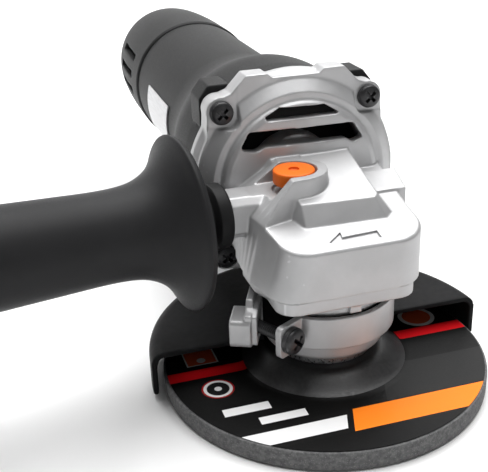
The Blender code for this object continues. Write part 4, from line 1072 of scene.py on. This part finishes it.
def cord_grommet():
    """The ring that the mains cord comes out of."""
    profile = rounded([
        (3.4, 234.6), (4.5, 234.6), (4.5, 240.3), (8.2, 240.3), (8.2, 242.2), (6.6, 243.4), (3.4, 243.4),
    ], 0.5)
    return shaded(turned("inlet_grommet", profile, axis="Y", segments=64, at=(0, 0, MOTOR_Z)))


def rating_plate():
    """The blank foil on the left of the body."""
    outline = arc((0, 0), 30.25, 164, 200, 24) + arc((0, 0), 29.75, 200, 164, 24)
    plate = prism("rating_foil", about_motor(outline), 106.0, 146.0, axis="Y")
    return shaded(plate)


# ---------------------------------------------------------------- side handle


def handle_turn():
    """Takes the handle's own +Z to its outward axis and keeps its panel's side level."""
    return Matrix.Rotation(HANDLE_TILT, 3, "Z") @ Matrix.Rotation(HANDLE_LIFT - math.pi / 2, 3, "Y")


def on_handle(piece):
    """Moves a piece made about its own Z to the handle's axis."""
    piece.data.transform(Matrix.Translation(Vector(HANDLE_AT) * MM) @ handle_turn().to_4x4())
    return piece


def handle_grip():
    """The hand flange and the swelling grip, as one turned body."""
    outer = curve_through([
        (28.7, 11.9), (29.3, 13.2), (28.9, 14.3), (25.2, 16.3), (20.4, 19.9), (17.2, 24.6), (15.5, 30.4),
        (15.0, 39.8), (15.5, 55.0), (16.1, 71.3), (16.7, 88.0), (16.4, 103.0), (15.5, 118.4), (15.9, 125.0),
        (16.8, 131.0), (16.4, 135.8), (13.6, 138.3),
    ], steps=6)
    profile = [(0.0, 22.3), (4.3, 22.3), (4.3, 9.4), (9.4, 9.4)] + outer + [(0.0, 138.3)]
    return shaded(on_handle(turned("grip", profile, segments=144)))


def handle_bush():
    """The handle's collar against the boss."""
    profile = rounded([
        (4.5, -2.1), (10.9, -2.1), (11.3, -1.3), (11.3, 2.6), (8.2, 3.6), (8.2, 9.0), (4.5, 9.0),
    ], 0.4)
    return shaded(on_handle(turned("handle_collar", profile, segments=80)))


# ---------------------------------------------------------------- assembly


def make_pieces(finish):
    """Every visible piece, with its finish, its body and the CAD nodes it stands for."""
    finished(gear_head(), finish["cast_aluminium"], "machine", "gear_housing")
    finished(bearing_cover(), finish["cast_aluminium"], "machine", "bearing_cover")
    make_screws(finish["blackened_steel"])
    finished(guard(), finish["guard_paint"], "guard", "guard_shroud")
    finished(clamp_band(), finish["cast_aluminium"], "guard", "clamp_band")
    finished(clamp_screw(), finish["blackened_steel"], "guard", "clamp_screw")
    finished(disc(), finish["abrasive"], "spindle", "grinding_disc")
    finished(paper_ring("disc_label", 28.8, 56.7, 0.14), finish["label"], "spindle")
    finished(paper_ring("disc_hub_skin", 11.6, 29.2, 0.2), finish["hub"], "spindle")
    finished(flange_nut(), finish["bright_steel"], "spindle", "flange_nut")
    finished(lock_button(), finish["orange_plastic"], "lock", "lock_button")
    finished(motor_housing(), finish["charcoal_plastic"], "machine", "motor_housing")
    finished(rear_cover(), finish["charcoal_plastic"], "machine", "rear_cover")
    finished(switch_slider(), finish["charcoal_plastic"], "switch", "switch_slider")
    finished(cord_grommet(), finish["rubber"], "machine", "cord_grommet")
    finished(rating_plate(), finish["label_foil"], "machine", "rating_plate")
    finished(handle_grip(), finish["grip_plastic"], "side_handle", "handle_grip")
    finished(handle_bush(), finish["charcoal_plastic"], "handle_seat", "handle_bush")


def dress_frame(finish):
    """Every CAD node that stays visible gets the finish of its slot."""
    slots = {part["node"]: part["material_slot"] for part in frame["record"]["subparts"]}
    for name, node in frame["nodes"].items():
        node.data.materials.clear()
        node.data.materials.append(finish[slots[name]])


def make_stage():
    """A pale floor that sweeps up behind the tool."""
    corners, faces = [], []
    half_width, top_z, bend_y, bend_r, floor_z = 2200.0, 2200.0, 900.0, 600.0, -0.6
    curve = [(-1500.0, floor_z), (bend_y, floor_z)]
    curve += arc((bend_y, bend_r + floor_z), bend_r, -80, 0, 9) + [(bend_y + bend_r, top_z)]
    for y, z in curve:
        corners += [(-half_width, y, z), (half_width, y, z)]
    for i in range(len(curve) - 1):
        faces.append([2 * i, 2 * i + 1, 2 * i + 3, 2 * i + 2])
    mesh = bpy.data.meshes.new("floor")
    mesh.from_pydata([[c * MM for c in corner] for corner in corners], [], faces)
    mesh.shade_smooth()
    floor = bpy.data.objects.new("floor", mesh)
    bpy.context.scene.collection.objects.link(floor)
    white = bpy.data.materials.new("studio_white")
    white.use_nodes = True
    white.node_tree.nodes["Principled BSDF"].inputs["Base Color"].default_value = (0.9, 0.9, 0.9, 1)
    white.node_tree.nodes["Principled BSDF"].inputs["Roughness"].default_value = 0.9
    mesh.materials.append(white)


def soft_light(name, at, aim, size, power):
    """A square or oblong lamp at one point that faces another, in metres."""
    lamp = bpy.data.lights.new(name, "AREA")
    lamp.shape = "RECTANGLE"
    lamp.size, lamp.size_y = size
    lamp.energy = power
    holder = bpy.data.objects.new(name, lamp)
    holder.location = at
    holder.rotation_euler = (Vector(aim) - Vector(at)).to_track_quat("-Z", "Y").to_euler()
    bpy.context.scene.collection.objects.link(holder)


def make_lights():
    """A large soft light from above and behind, a weak one in front and a dim surround."""
    world = bpy.data.worlds.new("studio")
    bpy.context.scene.world = world
    world.use_nodes = True
    world.node_tree.nodes["Background"].inputs[0].default_value = (1, 1, 1, 1)
    world.node_tree.nodes["Background"].inputs[1].default_value = 0.12
    centre = (0.0, 0.03, 0.05)
    soft_light("top_box", (0.2, 0.55, 2.1), centre, (2.4, 2.4), 105.0)
    soft_light("front_box", (0.5, -1.6, 0.9), centre, (1.2, 0.8), 2.0)


def make_camera():
    """Looks down on the head from the front left, as a hand-held catalogue view."""
    down, across, roll = math.radians(24.22), math.radians(16.27), math.radians(-2.04)
    level = math.cos(down)
    forward = Vector((math.sin(across) * level, math.cos(across) * level, -math.sin(down)))
    right = Vector((math.cos(across), -math.sin(across), 0.0))
    up = right.cross(forward)
    rolled_right = math.cos(roll) * right + math.sin(roll) * up
    rolled_up = math.cos(roll) * up - math.sin(roll) * right
    lens = bpy.data.cameras.new("camera")
    lens.lens = 65.1
    lens.sensor_width = 36.0
    lens.clip_start = 0.01
    camera = bpy.data.objects.new("camera", lens)
    turn = Matrix((rolled_right, rolled_up, -forward)).transposed()
    camera.matrix_world = Matrix.Translation((-0.1024, -0.2546, 0.1767)) @ turn.to_4x4()
    bpy.context.scene.collection.objects.link(camera)
    bpy.context.scene.camera = camera


def main():
    finish = make_finishes()
    dress_frame(finish)
    make_pieces(finish)
    make_stage()
    make_lights()
    make_camera()
    bpy.context.scene.view_settings.view_transform = "Standard"


main()
